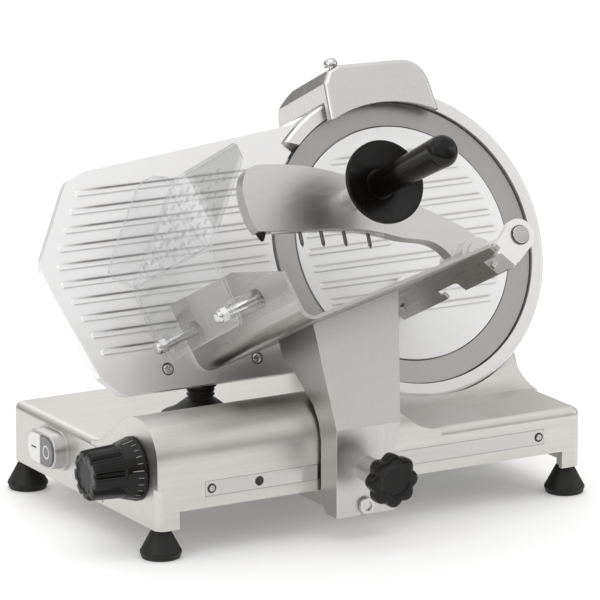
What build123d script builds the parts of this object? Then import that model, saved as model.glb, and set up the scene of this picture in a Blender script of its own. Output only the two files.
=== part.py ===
from build123d import *
import math
import os

# Deli meat slicer, 250 mm knife, gravity-feed carriage leaning back.
# Row frame: origin on the counter under the middle of the machine's box,
# +X right along the carriage travel, +Y away from the operator, +Z up.
# All sizes in millimetres. Plain x, y, z values are taken from the front left foot.
# Values named ..._U run up the leaning knife plane, ..._T along its normal
# towards the operator, both from the knife centre. The columns of each outline
# are the local x and y of the plane it is drawn on.

# ---- driving dimensions -------------------------------------------------
FOOT_X = -200.15      # front left foot in the row frame
FOOT_Y = -90.51
RUN = 0.05            # radial running clearance

KNIFE_R = 125.0       # 250 mm knife
KNIFE_X = 317.3
KNIFE_Y = 142.4
KNIFE_Z = 200.0
TILT = 25.3           # knife plane leans back, degrees
COVER_R = 103.9       # fixed cover disc over the knife hub
GUARD_R = 138.0       # outside of the knife guard ring
GUARD_IN = 126.2

BODY_X1 = -9.5        # body casting
BODY_X2 = 402.5
BODY_Y1 = -13.0
BODY_Y2 = 250.0
BODY_L = BODY_X2 - BODY_X1
BODY_W = BODY_Y2 - BODY_Y1
BODY_MID = ((BODY_X1 + BODY_X2) / 2, (BODY_Y1 + BODY_Y2) / 2)
LEG_Z = 25.0          # underside of the legs
SKIRT_Z = 40.0        # underside of the skirt between the legs
DECK_Z = 77.0
WALL = 5.0
HUMP_Y = 21.0         # rounded front housing over the slide rod
HUMP_Z = 80.5
HUMP_R = 34.0
FEET = [(x, y) for y in (0, 241) for x in (0, 394)]
FOOT_SCREW_R = 3.0

ROD_Y = 22.0          # carriage slide rod
ROD_Z = 46.0
SLIDE_ROD = (ROD_Y, ROD_Z)
ROD_R = 8.0
ROD_BUSH_R = 11.0
GUIDE_BAR = (56, 48)  # anti-turn bar, Y and Z
GUIDE_BAR_R = 6
GUIDE_BUSH_R = 9
INNER_X = BODY_X1 + WALL        # both bars run between the inner faces of the end walls
INNER_L = BODY_L - 2 * WALL

DIAL = (28.0, 70.0)   # thickness dial axis, Y and Z
DIAL_COLLAR_R = 7
SWITCH_Y = 170.6
SWITCH_Z = 54.0
SWITCH = (SWITCH_Y, SWITCH_Z)
CORD_OUTLET = (60, 50)          # X and Z on the back wall
CORD_HOLE_R = 4.1

STRIP_MID = (199.5, 56)         # slide cover strip on the front wall, X and Z
STRIP_L = 329
STRIP_W = 13
STRIP_TH = 1.2
STRIP_SCREWS = [(41, 56), (359, 56)]

FLOOR_SLOPE = math.radians(12.57)   # tray floor rises to the right
WALL_LEAN = math.radians(15.5)      # tray's left wall leans to the left
BEND = (-220.0, -87.0)              # bend of the tray, X and U
SHEET = 3.0
TRAY_NEAR_T = 198.0                 # operator's edge of the tray
TRAY_FAR_T = 4.5                    # knife edge of the tray
PUSH_ROD = (-10.0, -43.0)           # food pusher rod, X and U
PUSH_ROD_R = 6.0

COS_TILT = math.cos(math.radians(TILT))
SIN_TILT = math.sin(math.radians(TILT))
NORMAL = Vector(0, -COS_TILT, SIN_TILT)      # knife normal, towards the operator
UP = Vector(0, SIN_TILT, COS_TILT)           # up the knife plane
KNIFE = Vector(FOOT_X + KNIFE_X, FOOT_Y + KNIFE_Y, KNIFE_Z)
NORMAL_AXIS = Axis((0, 0, 0), NORMAL)
KNIFE_AXIS = Axis(KNIFE, NORMAL)

# directions in the knife plane, as (X, U) pairs, used by the carriage parts
WALL_UP = (-math.sin(WALL_LEAN), math.cos(WALL_LEAN))
WALL_OUT = (-math.cos(WALL_LEAN), -math.sin(WALL_LEAN))
FLOOR_RIGHT = (math.cos(FLOOR_SLOPE), math.sin(FLOOR_SLOPE))
FLOOR_DOWN = (math.sin(FLOOR_SLOPE), -math.cos(FLOOR_SLOPE))
FLANGE_TOP = (-36, -46)
FLANGE_DOWN = (0.685, -0.728)
FLANGE_OUT = (0.728, 0.685)


# ---- planes ---------------------------------------------------------------
def level(z):
    """Plan view plane: local x, y run along X, Y from the front left foot."""
    return Plane(origin=(FOOT_X, FOOT_Y, z), x_dir=(1, 0, 0), z_dir=(0, 0, 1))


def front(y):
    """Front view plane: local x, y run along X, Z; normal towards the operator."""
    return Plane(origin=(FOOT_X, FOOT_Y + y, 0), x_dir=(1, 0, 0), z_dir=(0, -1, 0))


def side(x):
    """Side view plane: local x, y run along Y, Z; normal along +X."""
    return Plane(origin=(FOOT_X + x, FOOT_Y, 0), x_dir=(0, 1, 0), z_dir=(1, 0, 0))


def from_knife(point, ahead=0):
    """Row frame position of an (X, U) point, ahead mm in front of the knife plane."""
    return KNIFE + Vector(point[0], 0, 0) + UP * point[1] + NORMAL * ahead


def knife(ahead):
    """Plane parallel to the knife, ahead mm in front of it: local x, y are X and U."""
    return Plane(origin=KNIFE + NORMAL * ahead, x_dir=(1, 0, 0), z_dir=NORMAL)


def profile(x):
    """Plane square to X at x from the knife centre: local x, y are T and U."""
    return Plane(origin=KNIFE + Vector(x, 0, 0), x_dir=NORMAL, z_dir=(-1, 0, 0))


def crosswise(up):
    """Plane square to UP: local x is X, y runs backwards from the knife plane."""
    return Plane(origin=KNIFE + UP * up, x_dir=(1, 0, 0), z_dir=UP)


def turning(centre, ahead=0):
    """Half-section plane of a part turned about NORMAL: local x is radius, y is T."""
    return Plane(origin=from_knife(centre, ahead), x_dir=(1, 0, 0), z_dir=UP * -1)


def wall_plane(out):
    """Plane out mm outside the tray's left wall: local x is T, y is up the wall."""
    return Plane(origin=from_knife(wall_point(0, out)),
                 x_dir=NORMAL, z_dir=from_knife(WALL_OUT) - KNIFE)


def flange_plane(out):
    """Plane out mm outside the rod flange: local x is -T, y is up the flange."""
    return Plane(origin=from_knife(flange_point(0, out)),
                 x_dir=NORMAL * -1, z_dir=from_knife(FLANGE_OUT) - KNIFE)


# ---- points ---------------------------------------------------------------
def on_knife(ahead, up):
    """(Y, Z) of a point ahead mm in front of the knife plane and up mm up it."""
    return (KNIFE_Y - COS_TILT * ahead + SIN_TILT * up,
            KNIFE_Z + SIN_TILT * ahead + COS_TILT * up)


def shift(start, first, far1, second=(0, 0), far2=0):
    """start moved far1 along the first direction and far2 along the second."""
    return tuple(start[i] + first[i] * far1 + second[i] * far2 for i in (0, 1))


def wall_point(up, out=0.0):
    return shift(BEND, WALL_UP, up, WALL_OUT, out)


def floor_point(right, below=0.0):
    return shift(BEND, FLOOR_RIGHT, right, FLOOR_DOWN, below)


def flange_point(down, out=0.0):
    return shift(FLANGE_TOP, FLANGE_DOWN, down, FLANGE_OUT, out)


def polar(radius, degrees):
    return (math.cos(math.radians(degrees)) * radius, math.sin(math.radians(degrees)) * radius)


# ---- drawing and selection -------------------------------------------------
def circles(radius, *centres, mode=Mode.ADD):
    """Circles in the sketch being drawn."""
    with Locations(*centres):
        Circle(radius, mode=mode)


def rings(outer, inner, *centres):
    circles(outer, *centres)
    circles(inner, *centres, mode=Mode.SUBTRACT)


def vertex_at(point):
    """Vertex of the sketch being drawn that lies nearest to point."""
    return min(vertices(), key=lambda v: (v.X - point[0]) ** 2 + (v.Y - point[1]) ** 2)


def center_t(edge):
    return (edge.center() - KNIFE).dot(NORMAL)


os.makedirs("parts", exist_ok=True)


def save(part, name):
    part.label = name
    export_step(part, "parts/" + name + ".step")


# ---- body casting ---------------------------------------------------------
# Rounded cover over the slide rod, as its own form.
HUMP_BACK = (104, DECK_Z - 0.5)
with BuildPart() as hump_form:
    with BuildSketch(side(BODY_X1)):
        with BuildLine():
            Line((BODY_Y1, 60), (BODY_Y1, HUMP_Z))
            ThreePointArc((BODY_Y1, HUMP_Z),
                          (HUMP_Y - HUMP_R * math.cos(math.radians(45)),
                           HUMP_Z + HUMP_R * math.sin(math.radians(45))),
                          (HUMP_Y, HUMP_Z + HUMP_R))
            Spline((HUMP_Y, HUMP_Z + HUMP_R), HUMP_BACK,
                   tangents=((1, 0), (1, 0)), tangent_scalars=(1.15, 0.9))
            Polyline(HUMP_BACK, (104, 60), (BODY_Y1, 60))
        make_face()
    extrude(amount=275)
    # right end runs down to the deck in a curve
    with BuildSketch(front(-20)):
        with BuildLine():
            Polyline((262, 77.4), (262, 50), (-30, 50), (-30, 122), (200, 122))
            Spline((200, 122), (219, 99), (237, 84), (262, 77.4),
                   tangents=((0.55, -1), (1, -0.02)))
        make_face()
    extrude(amount=-140, mode=Mode.INTERSECT)

# Tower that carries the knife, motor and belt, behind the guard ring.
TOWER_BACK_T = -76
with BuildPart() as tower_form:
    with BuildSketch(knife(-3)):
        with BuildLine():
            Polyline((87, -113), (85.2, -175), (-50, -175), (-50, -40))
            ThreePointArc((-50, -40), (-28, 68), (0, 88))
            ThreePointArc((0, 88), (54, 62), (78, 0))
            Spline((78, 0), (82, -60), (87, -113), tangents=((0, -1), (0, -1)))
        make_face()
    extrude(amount=TOWER_BACK_T + 3)
    # motor bay, running back and down from the belt case
    with BuildSketch(side(262)):
        with BuildLine():
            Polyline((100, 60), (150, 150), on_knife(-34, -24), on_knife(-102, -24),
                     (243, 112), (246, 60), (100, 60))
        make_face()
    extrude(amount=136)
    fillet(tower_form.edges().filter_by(Axis.X).sort_by(Axis.Y)[-2:], 14)
    # cut off below the deck
    with BuildSketch(level(DECK_Z - 12)):
        with Locations((200, 120)):
            Rectangle(700, 500)
    extrude(amount=-120, mode=Mode.SUBTRACT)

# Concave foot between the deck and the tower's front.
FOOT_CURVE = ((58, DECK_Z - 0.3), (99, 100))
with BuildPart() as foot_form:
    with BuildSketch(side(267.3)):
        with BuildLine():
            Spline(*FOOT_CURVE, tangents=((1, 0), (SIN_TILT, COS_TILT)),
                   tangent_scalars=(1.0, 0.8))
            Polyline(FOOT_CURVE[1], (140, 100), (140, 60), (58, 60), FOOT_CURVE[0])
        make_face()
    extrude(amount=135)
    top_edges = foot_form.edges().filter_by(Axis.Y).group_by(Axis.Z)[-1]
    fillet(top_edges.sort_by(Axis.X)[-1:], 3)

with BuildPart() as base_casting:
    with BuildSketch(level(LEG_Z)):
        with Locations(BODY_MID):
            RectangleRounded(BODY_L, BODY_W, 8)
    extrude(amount=DECK_Z - LEG_Z)
    fillet(base_casting.faces().sort_by(Axis.Z)[-1].edges(), 7)
    add(hump_form.part)
    add(foot_form.part)
    add(tower_form.part)
    # inside of the body
    with BuildSketch(level(0)):
        with Locations(BODY_MID):
            RectangleRounded(BODY_L - 2 * WALL, BODY_W - 2 * WALL, 6)
    extrude(amount=DECK_Z - 6, mode=Mode.SUBTRACT)
    # inside of the rounded front cover
    with BuildSketch(side(INNER_X)):
        circles(HUMP_R - WALL, (HUMP_Y, HUMP_Z))
    extrude(amount=198, mode=Mode.SUBTRACT)
    # inside of the belt case and the motor bay
    with BuildSketch(knife(-29)):
        with BuildLine():
            Polyline((78, -112), (78, -150), (-44, -150), (-44, -38))
            ThreePointArc((-44, -38), (-26, 48), (0, 58))
            ThreePointArc((0, 58), (48, 44), (70, 0))
            Spline((70, 0), (74, -60), (78, -112), tangents=((0, -1), (0, -1)))
        make_face()
    extrude(amount=-47.5, mode=Mode.SUBTRACT)
    with BuildSketch(side(268)):
        with BuildLine():
            Polyline((122, 40), (148, 140), on_knife(-40, -30), on_knife(-100, -30),
                     (237, 108), (240, 40), (122, 40))
        make_face()
    extrude(amount=124, mode=Mode.SUBTRACT)
    # notches between the legs, front and back
    with BuildSketch(front(-30)):
        with Locations((197, SKIRT_Z / 2)):
            Rectangle(372, SKIRT_Z)
    extrude(amount=-300, mode=Mode.SUBTRACT)
    # leg pads over the feet
    with BuildSketch(level(LEG_Z)):
        circles(7, *FEET)
    extrude(amount=50)
    # end bosses of the slide rod and the anti-turn bar
    for boss_x, boss_l in ((BODY_X1 + 2, 17), (BODY_X2 - 2, -17)):
        with BuildSketch(side(boss_x)):
            circles(ROD_BUSH_R, SLIDE_ROD)
            circles(GUIDE_BUSH_R, GUIDE_BAR)
        extrude(amount=boss_l)
    with BuildSketch(side(INNER_X)):
        circles(ROD_R, SLIDE_ROD)
        circles(GUIDE_BAR_R, GUIDE_BAR)
    extrude(amount=INNER_L, mode=Mode.SUBTRACT)
    # recess for the slide cover strip
    with BuildSketch(front(BODY_Y1 + STRIP_TH)):
        with Locations(STRIP_MID):
            Rectangle(STRIP_L + 0.4, STRIP_W + 0.4)
    extrude(amount=10, mode=Mode.SUBTRACT)
    # thickness dial shaft hole
    with BuildSketch(side(BODY_X1 - 5)):
        circles(DIAL_COLLAR_R + RUN, DIAL)
    extrude(amount=30, mode=Mode.SUBTRACT)
    # switch opening
    with BuildSketch(side(BODY_X1 - 5)):
        with Locations(SWITCH):
            Rectangle(42, 22)
    extrude(amount=20, mode=Mode.SUBTRACT)
    # slot in the deck for the gauge plate post
    with BuildSketch(level(DECK_Z - 10)):
        with Locations((106, 133)):
            RectangleRounded(26, 46, 8)
    extrude(amount=20, mode=Mode.SUBTRACT)
    # cable hole at the back
    with BuildSketch(front(BODY_Y2 + 5)):
        circles(8, CORD_OUTLET)
    extrude(amount=20, mode=Mode.SUBTRACT)
    # opening for the bearing boss of the knife housing
    with BuildSketch(knife(0)):
        Circle(31)
    extrude(amount=-40, mode=Mode.SUBTRACT)
    # solid pad under the guard ring, then the round seat of the knife housing
    with BuildSketch(level(57)):
        with Locations((332, 86)):
            Rectangle(132, 42)
    extrude(amount=DECK_Z - 59, mode=Mode.ADD)
    with BuildSketch(knife(-22)):
        Circle(GUARD_R + 0.4)
    extrude(amount=60, mode=Mode.SUBTRACT)
    # holes for the foot screws
    with BuildSketch(level(LEG_Z)):
        circles(FOOT_SCREW_R, *FEET)
    extrude(amount=14, mode=Mode.SUBTRACT)
save(base_casting.part, "base_casting")

# ---- feet -------------------------------------------------------------------
# radius, z
FOOT_SECTION = [(3.2, 0), (15.5, 0), (17.5, 1.6), (17.5, 5.5), (16.2, 7.2), (7.6, 24.6),
                (6.8, LEG_Z), (3.2, LEG_Z)]
with BuildPart() as one_foot:
    with BuildSketch(front(0)):
        with BuildLine():
            Polyline(*FOOT_SECTION, close=True)
        make_face()
    revolve(axis=Axis((FOOT_X, FOOT_Y, 0), (0, 0, 1)))
    with BuildSketch(level(0)):
        Circle(6)
    extrude(amount=6, mode=Mode.SUBTRACT)
with BuildPart() as rubber_feet:
    for x, y in FEET:
        add(one_foot.part.moved(Location((x, y, 0))))
save(rubber_feet.part, "rubber_feet")

with BuildPart() as foot_screws:
    for screw_r, screw_l in ((5.8, 4), (FOOT_SCREW_R, 34)):      # heads, then shanks
        with BuildSketch(level(2)):
            circles(screw_r, *FEET)
        extrude(amount=screw_l)
save(foot_screws.part, "foot_screws")

# ---- under and front covers ---------------------------------------------------
with BuildPart() as bottom_cover:
    with BuildSketch(level(28)):
        with Locations((312, 154)):
            RectangleRounded(148, 146, 6)
    extrude(amount=2)
    with BuildSketch(level(28)):
        with Locations(*[(300, y) for y in range(120, 161, 10)]):
            SlotOverall(60, 4)
    extrude(amount=2, mode=Mode.SUBTRACT)
save(bottom_cover.part, "bottom_cover")

with BuildPart() as slide_cover_strip:
    with BuildSketch(front(BODY_Y1 + STRIP_TH)):
        with Locations(STRIP_MID):
            RectangleRounded(STRIP_L, STRIP_W, 1)
        circles(2.1, *STRIP_SCREWS, mode=Mode.SUBTRACT)
        circles(4, (86, 56), mode=Mode.SUBTRACT)
    extrude(amount=STRIP_TH)
save(slide_cover_strip.part, "slide_cover_strip")

# saved with the belt cover's screws
with BuildPart() as strip_screws:
    with BuildSketch(front(BODY_Y1 + STRIP_TH)):
        circles(2.0, *STRIP_SCREWS)
    extrude(amount=1.6)

# ---- carriage slide -------------------------------------------------------------
with BuildPart() as slide_rod:
    with BuildSketch(side(INNER_X)):
        circles(ROD_R, SLIDE_ROD)
    extrude(amount=INNER_L)
    chamfer(slide_rod.edges(), 0.8)
save(slide_rod.part, "slide_rod")

with BuildPart() as guide_bar:
    with BuildSketch(side(INNER_X)):
        circles(GUIDE_BAR_R, GUIDE_BAR)
    extrude(amount=INNER_L)
    chamfer(guide_bar.edges(), 0.6)
save(guide_bar.part, "guide_bar")

BLOCK_X = 131.0
BLOCK_L = 80.0
BLOCK_FOOT_X = 150
BLOCK_FOOT_L = 42
BLOCK_FRONT = -35.9
TAIL_X = 160
TAIL_L = 22
ROD_BUSH_L = 20
ARM_SCREW = (171, 30.2)         # X and Z
with BuildPart() as slide_block:
    with BuildSketch(side(BLOCK_X)):
        with Locations((ROD_Y, 46.5)):
            RectangleRounded(28, 25, 4)
        circles(ROD_BUSH_R, SLIDE_ROD, mode=Mode.SUBTRACT)
    extrude(amount=BLOCK_L)
    # foot that reaches out under the skirt to the carriage arm
    with BuildSketch(side(BLOCK_FOOT_X)):
        with BuildLine():
            Polyline((BLOCK_FRONT, 24), (34, 24), (34, 38), (8, 38), (-4, 36.5),
                     (BLOCK_FRONT, 36.5), (BLOCK_FRONT, 24))
        make_face()
    extrude(amount=BLOCK_FOOT_L)
    with BuildSketch(side(BLOCK_FOOT_X)):
        circles(ROD_BUSH_R, SLIDE_ROD)
    extrude(amount=BLOCK_FOOT_L, mode=Mode.SUBTRACT)
    # tail that holds the anti-turn bush
    with BuildSketch(side(TAIL_X)):
        with BuildLine():
            Polyline((30, 28), (66, 28), (66, 56.4), (64.6, 56.4), (64.6, 60), (46, 60),
                     (46, 38), (30, 38), (30, 28))
        make_face()
        circles(GUIDE_BUSH_R, GUIDE_BAR, mode=Mode.SUBTRACT)
    extrude(amount=TAIL_L)
    # hole for the arm screw
    with BuildSketch(front(-40)):
        circles(4, ARM_SCREW)
    extrude(amount=-30, mode=Mode.SUBTRACT)
save(slide_block.part, "slide_block")

with BuildPart() as slide_bushes:
    for bush_x in (BLOCK_X, BLOCK_X + BLOCK_L - ROD_BUSH_L):
        with BuildSketch(side(bush_x)):
            rings(ROD_BUSH_R, ROD_R + RUN, SLIDE_ROD)
        extrude(amount=ROD_BUSH_L)
    with BuildSketch(side(TAIL_X)):
        rings(GUIDE_BUSH_R, GUIDE_BAR_R + RUN, GUIDE_BAR)
    extrude(amount=TAIL_L)
save(slide_bushes.part, "slide_bushes")

# ---- carriage arm -------------------------------------------------------------------
ARM_T = 123.0           # upper, leaning part of the arm's front face
ARM_BACK_T = 59
ARM_TOP_U = -30
ARM_FRONT = -42.0       # lower, upright part of the arm's front face
ARM_WALL = 6
ARM_KNOB = (171, 62)    # X and Z
KNOB_STUD_R = 5


def arm_line(inset, foot_z):
    """(Y, Z) front line of the arm, inset mm behind its face, from bottom to top."""
    ahead = ARM_T - inset
    y = ARM_FRONT + inset
    kink_u = (y - (KNIFE_Y - COS_TILT * ahead)) / SIN_TILT
    return [(y, foot_z), (y, on_knife(ahead, kink_u)[1]), on_knife(ahead, ARM_TOP_U)]


def under_floor(right):
    """(X, U) of a point just under the tray floor, right mm across from the bend."""
    return (BEND[0] + right, BEND[1] - 3.2 + right * math.tan(FLOOR_SLOPE))


# hollow inside the arm's channel
with BuildPart() as arm_core:
    with BuildSketch(side(149)):
        with BuildLine():
            Polyline(*arm_line(ARM_WALL, 5), (90, 240), (140, 120), (20, 5), close=True)
        make_face()
    extrude(amount=90)
    with BuildSketch(front(-80)):
        with BuildLine():
            Polyline((149, 5), (192.6, 5), (192.6, 76), (223.5, 196), (226, 250),
                     (149, 250), (149, 5))
        make_face()
    extrude(amount=-300, mode=Mode.INTERSECT)

with BuildPart() as carriage_arm:
    with BuildSketch(side(143)):
        with BuildLine():
            Polyline(*arm_line(0, 20), on_knife(ARM_BACK_T, ARM_TOP_U),
                     on_knife(ARM_BACK_T, -96), (32, 134), (8, 118.5), (-3.5, 110.5),
                     (-12.5, 97.5), (-16, 83), (-16, 20), close=True)
        make_face()
    extrude(amount=95)
    fillet(carriage_arm.edges().filter_by(Axis.X).sort_by(Axis.Y)[:3].sort_by(Axis.Z)[1:2], 18)
    # outline seen from the front
    with BuildSketch(front(-80)):
        with BuildLine():
            Polyline((143, 22), (198.6, 22), (198.6, 76), (229.5, 196), (232, 215),
                     (143, 215), (143, 22))
        make_face()
    extrude(amount=-160, mode=Mode.INTERSECT)
    # hollow channel, open to the back
    add(arm_core.part, mode=Mode.SUBTRACT)
    # top follows the tray floor
    with BuildSketch(knife(50)):
        with BuildLine():
            Polyline(under_floor(-40), under_floor(240), (BEND[0] + 240, 60),
                     (BEND[0] - 40, 60), close=True)
        make_face()
    extrude(amount=90, mode=Mode.SUBTRACT)
    # boss for the carriage knob, and the open slot below it
    with BuildSketch(front(ARM_FRONT + ARM_WALL)):
        circles(10.5, ARM_KNOB)
    extrude(amount=32)
    with BuildSketch(front(-90)):
        circles(KNOB_STUD_R + RUN, ARM_KNOB)
    extrude(amount=-60, mode=Mode.SUBTRACT)
    with BuildSketch(front(-50)):
        circles(5.2, ARM_SCREW)
        with Locations((ARM_SCREW[0], 24)):
            Rectangle(10.4, 12.4)
    extrude(amount=-50 - BLOCK_FRONT, mode=Mode.SUBTRACT)
save(carriage_arm.part, "carriage_arm")

# socket head screw through the arm's slot into the block; saved with the carriage screws
SCREW_HEAD_H = 3.5
with BuildPart() as arm_screw:
    with BuildSketch(front(ARM_FRONT - 0.05)):
        circles(7.2, ARM_SCREW)
    extrude(amount=SCREW_HEAD_H)
    with BuildSketch(front(ARM_FRONT)):
        circles(3.95, ARM_SCREW)
    extrude(amount=-26)
    with BuildSketch(front(ARM_FRONT - SCREW_HEAD_H)):
        with Locations(ARM_SCREW):
            RegularPolygon(3, 6)
    extrude(amount=-2.5, mode=Mode.SUBTRACT)

# Lobed knob that locks the carriage arm on its slide.
with BuildPart() as arm_knob:
    with BuildSketch(front(-72)):
        with Locations(ARM_KNOB):
            Circle(18.5)
            with PolarLocations(17.2, 8):
                Circle(5.6)
    extrude(amount=16)
    with BuildSketch(front(-68)):
        circles(12, ARM_KNOB)
    extrude(amount=22)
    chamfer(arm_knob.faces().filter_by(Axis.Y).sort_by(Axis.Y)[0].edges(), 1.2)
    # threaded stud moulded into the knob, with its collar inside the arm
    with BuildSketch(front(-34)):
        circles(KNOB_STUD_R, ARM_KNOB)
    extrude(amount=50)
    with BuildSketch(front(-31)):
        circles(8, ARM_KNOB)
    extrude(amount=4.9)
save(arm_knob.part, "arm_knob")

# ---- food tray ------------------------------------------------------------------------
FLOOR_L = 188.5
WALL_H = 62
BEND_R = 10
STUDS = [(29, 33), (145, 33)]                   # finger guard studs: T, up the wall
BRACKET_SCREWS = [(-186, -16), (-22, -16)]      # near and far bracket, on the flange
BRACKET_SCREW_R = 2.6
# outer corner of the bend, where the outsides of the wall and the floor meet
mitre = SHEET / (1 + WALL_OUT[0] * FLOOR_DOWN[0] + WALL_OUT[1] * FLOOR_DOWN[1])
outer_corner = shift(BEND, WALL_OUT, mitre, FLOOR_DOWN, mitre)

with BuildPart() as carriage_tray:
    with BuildSketch(knife(TRAY_FAR_T)):
        # left wall and floor, one bent sheet
        with BuildLine():
            Polyline(wall_point(WALL_H), BEND, floor_point(FLOOR_L),
                     floor_point(FLOOR_L, SHEET), outer_corner,
                     wall_point(WALL_H, SHEET), close=True)
        make_face()
        fillet([vertex_at(BEND)], BEND_R)
        fillet([vertex_at(outer_corner)], BEND_R + SHEET)
        # stiffening flange turned down along the right edge
        with BuildLine():
            Polyline(FLANGE_TOP, flange_point(28), flange_point(28, -SHEET),
                     flange_point(0, -SHEET), close=True)
        make_face()
    extrude(amount=TRAY_NEAR_T - TRAY_FAR_T)
    # near upper corner of the left wall slopes down
    with BuildSketch(profile(BEND[0] - 45)):
        with BuildLine():
            Polyline((120, wall_point(WALL_H)[1]), (TRAY_NEAR_T + 1, wall_point(42.5)[1]),
                     (TRAY_NEAR_T + 1, 20), (120, 20), close=True)
        make_face()
    extrude(amount=-60, mode=Mode.SUBTRACT)
    # notch in the lower edge of the flange
    with BuildSketch(flange_plane(2)):
        with BuildLine():
            Polyline((-84, -34), (-86, -22), (-78, -22), (-77, -17.5), (-115, -17.5),
                     (-116.5, -34), (-84, -34))
        make_face()
    extrude(amount=-8, mode=Mode.SUBTRACT)
    # holes for the guard studs and the bracket screws
    with BuildSketch(wall_plane(6)):
        circles(4, *STUDS)
    extrude(amount=-12, mode=Mode.SUBTRACT)
    with BuildSketch(flange_plane(6)):
        circles(BRACKET_SCREW_R, *BRACKET_SCREWS)
    extrude(amount=-12, mode=Mode.SUBTRACT)
save(carriage_tray.part, "carriage_tray")

# ---- food pusher rod and its brackets ------------------------------------------------------
LUG_TH = 7.0
PAD_TH = 3          # bracket feet against the flange
FAR_LUG_T = TRAY_FAR_T + 3


def rod_point(down):
    """(X, U) of a point down mm from the rod centre, parallel to the flange."""
    return shift(PUSH_ROD, FLANGE_DOWN, down)


with BuildPart() as rod_brackets:
    # near ear
    with BuildSketch(knife(TRAY_NEAR_T)):
        circles(14, PUSH_ROD)
        with BuildLine():
            Polyline(flange_point(3), flange_point(27.5), rod_point(13.6), rod_point(-13.6),
                     close=True)
        make_face()
    extrude(amount=LUG_TH)
    # its foot against the inside of the flange, and the web joining foot to ear
    with BuildSketch(flange_plane(-SHEET)):
        with Locations((-TRAY_NEAR_T + 10.0 - LUG_TH / 2 - 2, -17.5)):
            Rectangle(20 + LUG_TH + 4, 16)
    extrude(amount=-PAD_TH)
    with BuildSketch(knife(TRAY_NEAR_T)):
        with BuildLine():
            inside = -(SHEET + PAD_TH)
            Polyline(flange_point(7.5), flange_point(26.5), flange_point(26.5, inside),
                     flange_point(7.5, inside), close=True)
        make_face()
    extrude(amount=LUG_TH)
    # far ear and its foot against the outside of the flange
    with BuildSketch(knife(FAR_LUG_T)):
        circles(13, PUSH_ROD)
        with BuildLine():
            Polyline(flange_point(6), flange_point(27.0), rod_point(12.6), rod_point(-12.6),
                     close=True)
        make_face()
    extrude(amount=LUG_TH)
    with BuildSketch(flange_plane(3.02)):
        with Locations((-FAR_LUG_T - 10, -16.5)):
            Rectangle(20, 20)
    extrude(amount=-PAD_TH)
    # rod and screw holes
    with BuildSketch(knife(0)):
        circles(PUSH_ROD_R, PUSH_ROD)
    extrude(amount=220, mode=Mode.SUBTRACT)
    with BuildSketch(flange_plane(10)):
        circles(BRACKET_SCREW_R, *BRACKET_SCREWS)
    extrude(amount=-30, mode=Mode.SUBTRACT)
save(rod_brackets.part, "rod_brackets")

with BuildPart() as carriage_screws:
    for screw_r, screw_l in ((5, 2.6), (2.5, -9)):      # heads, then shanks
        for seat, place in zip((0, 3.03), BRACKET_SCREWS):
            with BuildSketch(flange_plane(seat)):
                circles(screw_r, place)
            extrude(amount=screw_l)
    add(arm_screw.part)
save(carriage_screws.part, "carriage_screws")

with BuildPart() as pusher_rod:
    with BuildSketch(knife(TRAY_FAR_T + 1)):
        circles(PUSH_ROD_R, PUSH_ROD)
    extrude(amount=TRAY_NEAR_T + LUG_TH + 1.2 - TRAY_FAR_T - 1)
    chamfer(pusher_rod.edges(), 0.6)
save(pusher_rod.part, "pusher_rod")

# ---- finger guard on its two studs --------------------------------------------------------
STUD_R = 3.9
STUD_HOLE_R = 4.0
GUARD_OUT = 33.0        # guard's inner face, outside the tray wall
GUARD_TH = 4.0
GUARD_FACE = GUARD_OUT + GUARD_TH
FOLD_UP = 86.5          # fold line, up the tray wall
fold = wall_point(FOLD_UP, GUARD_OUT)

with BuildPart() as guard_studs:
    with BuildSketch(wall_plane(-2)):
        circles(STUD_R, *STUDS)
    extrude(amount=44)
    with BuildSketch(wall_plane(-3)):
        circles(7, *STUDS)
    extrude(amount=3)
save(guard_studs.part, "guard_studs")

with BuildPart() as stud_sleeves:
    with BuildSketch(wall_plane(SHEET)):
        rings(9, STUD_HOLE_R, *STUDS)
    extrude(amount=GUARD_OUT - SHEET)
save(stud_sleeves.part, "stud_sleeves")

# the upper leaf leans to the right above the fold
leaf_lean = math.radians(34)
leaf_plane = Plane(origin=from_knife(fold), x_dir=NORMAL,
                   z_dir=Vector(-math.cos(leaf_lean), 0, 0) + UP * math.sin(leaf_lean))
with BuildPart() as finger_guard:
    # lower leaf, parallel to the tray wall
    with BuildSketch(wall_plane(GUARD_OUT)):
        with BuildLine():
            Polyline((19, FOLD_UP), (13.7, 42), (17.5, 20), (28, 18), (158, 20),
                     (166, FOLD_UP), (19, FOLD_UP))
        make_face()
        fillet(vertices().group_by(Axis.Y)[0] + vertices().group_by(Axis.Y)[1], 6)
        circles(STUD_HOLE_R, *STUDS, mode=Mode.SUBTRACT)
    extrude(amount=GUARD_TH)
    with BuildSketch(leaf_plane):
        with BuildLine():
            Polyline((19, -0.4), (166, -0.4), (164, 84), (137, 105.5), (20, 104), (19, -0.4))
        make_face()
        fillet(vertices().sort_by(Axis.Y)[-3:-1], 12)
    extrude(amount=GUARD_TH)
    # end web, parallel to the knife
    with BuildSketch(knife(19)):
        with BuildLine():
            Polyline((-219.5, 73), (-227, 78.5), (-238.3, 80.5), (-248.2, 77.5), (-254, 73),
                     (-263, 60), (-283, 30), (-295.5, 10), (-298, 3.5), (-294, -2.5),
                     (fold[0] - 3.5, fold[1] + 0.5), (fold[0] + 0.3, fold[1] + 0.5),
                     (-219.5, 73))
        make_face()
    extrude(amount=GUARD_TH)
save(finger_guard.part, "finger_guard")

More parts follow.
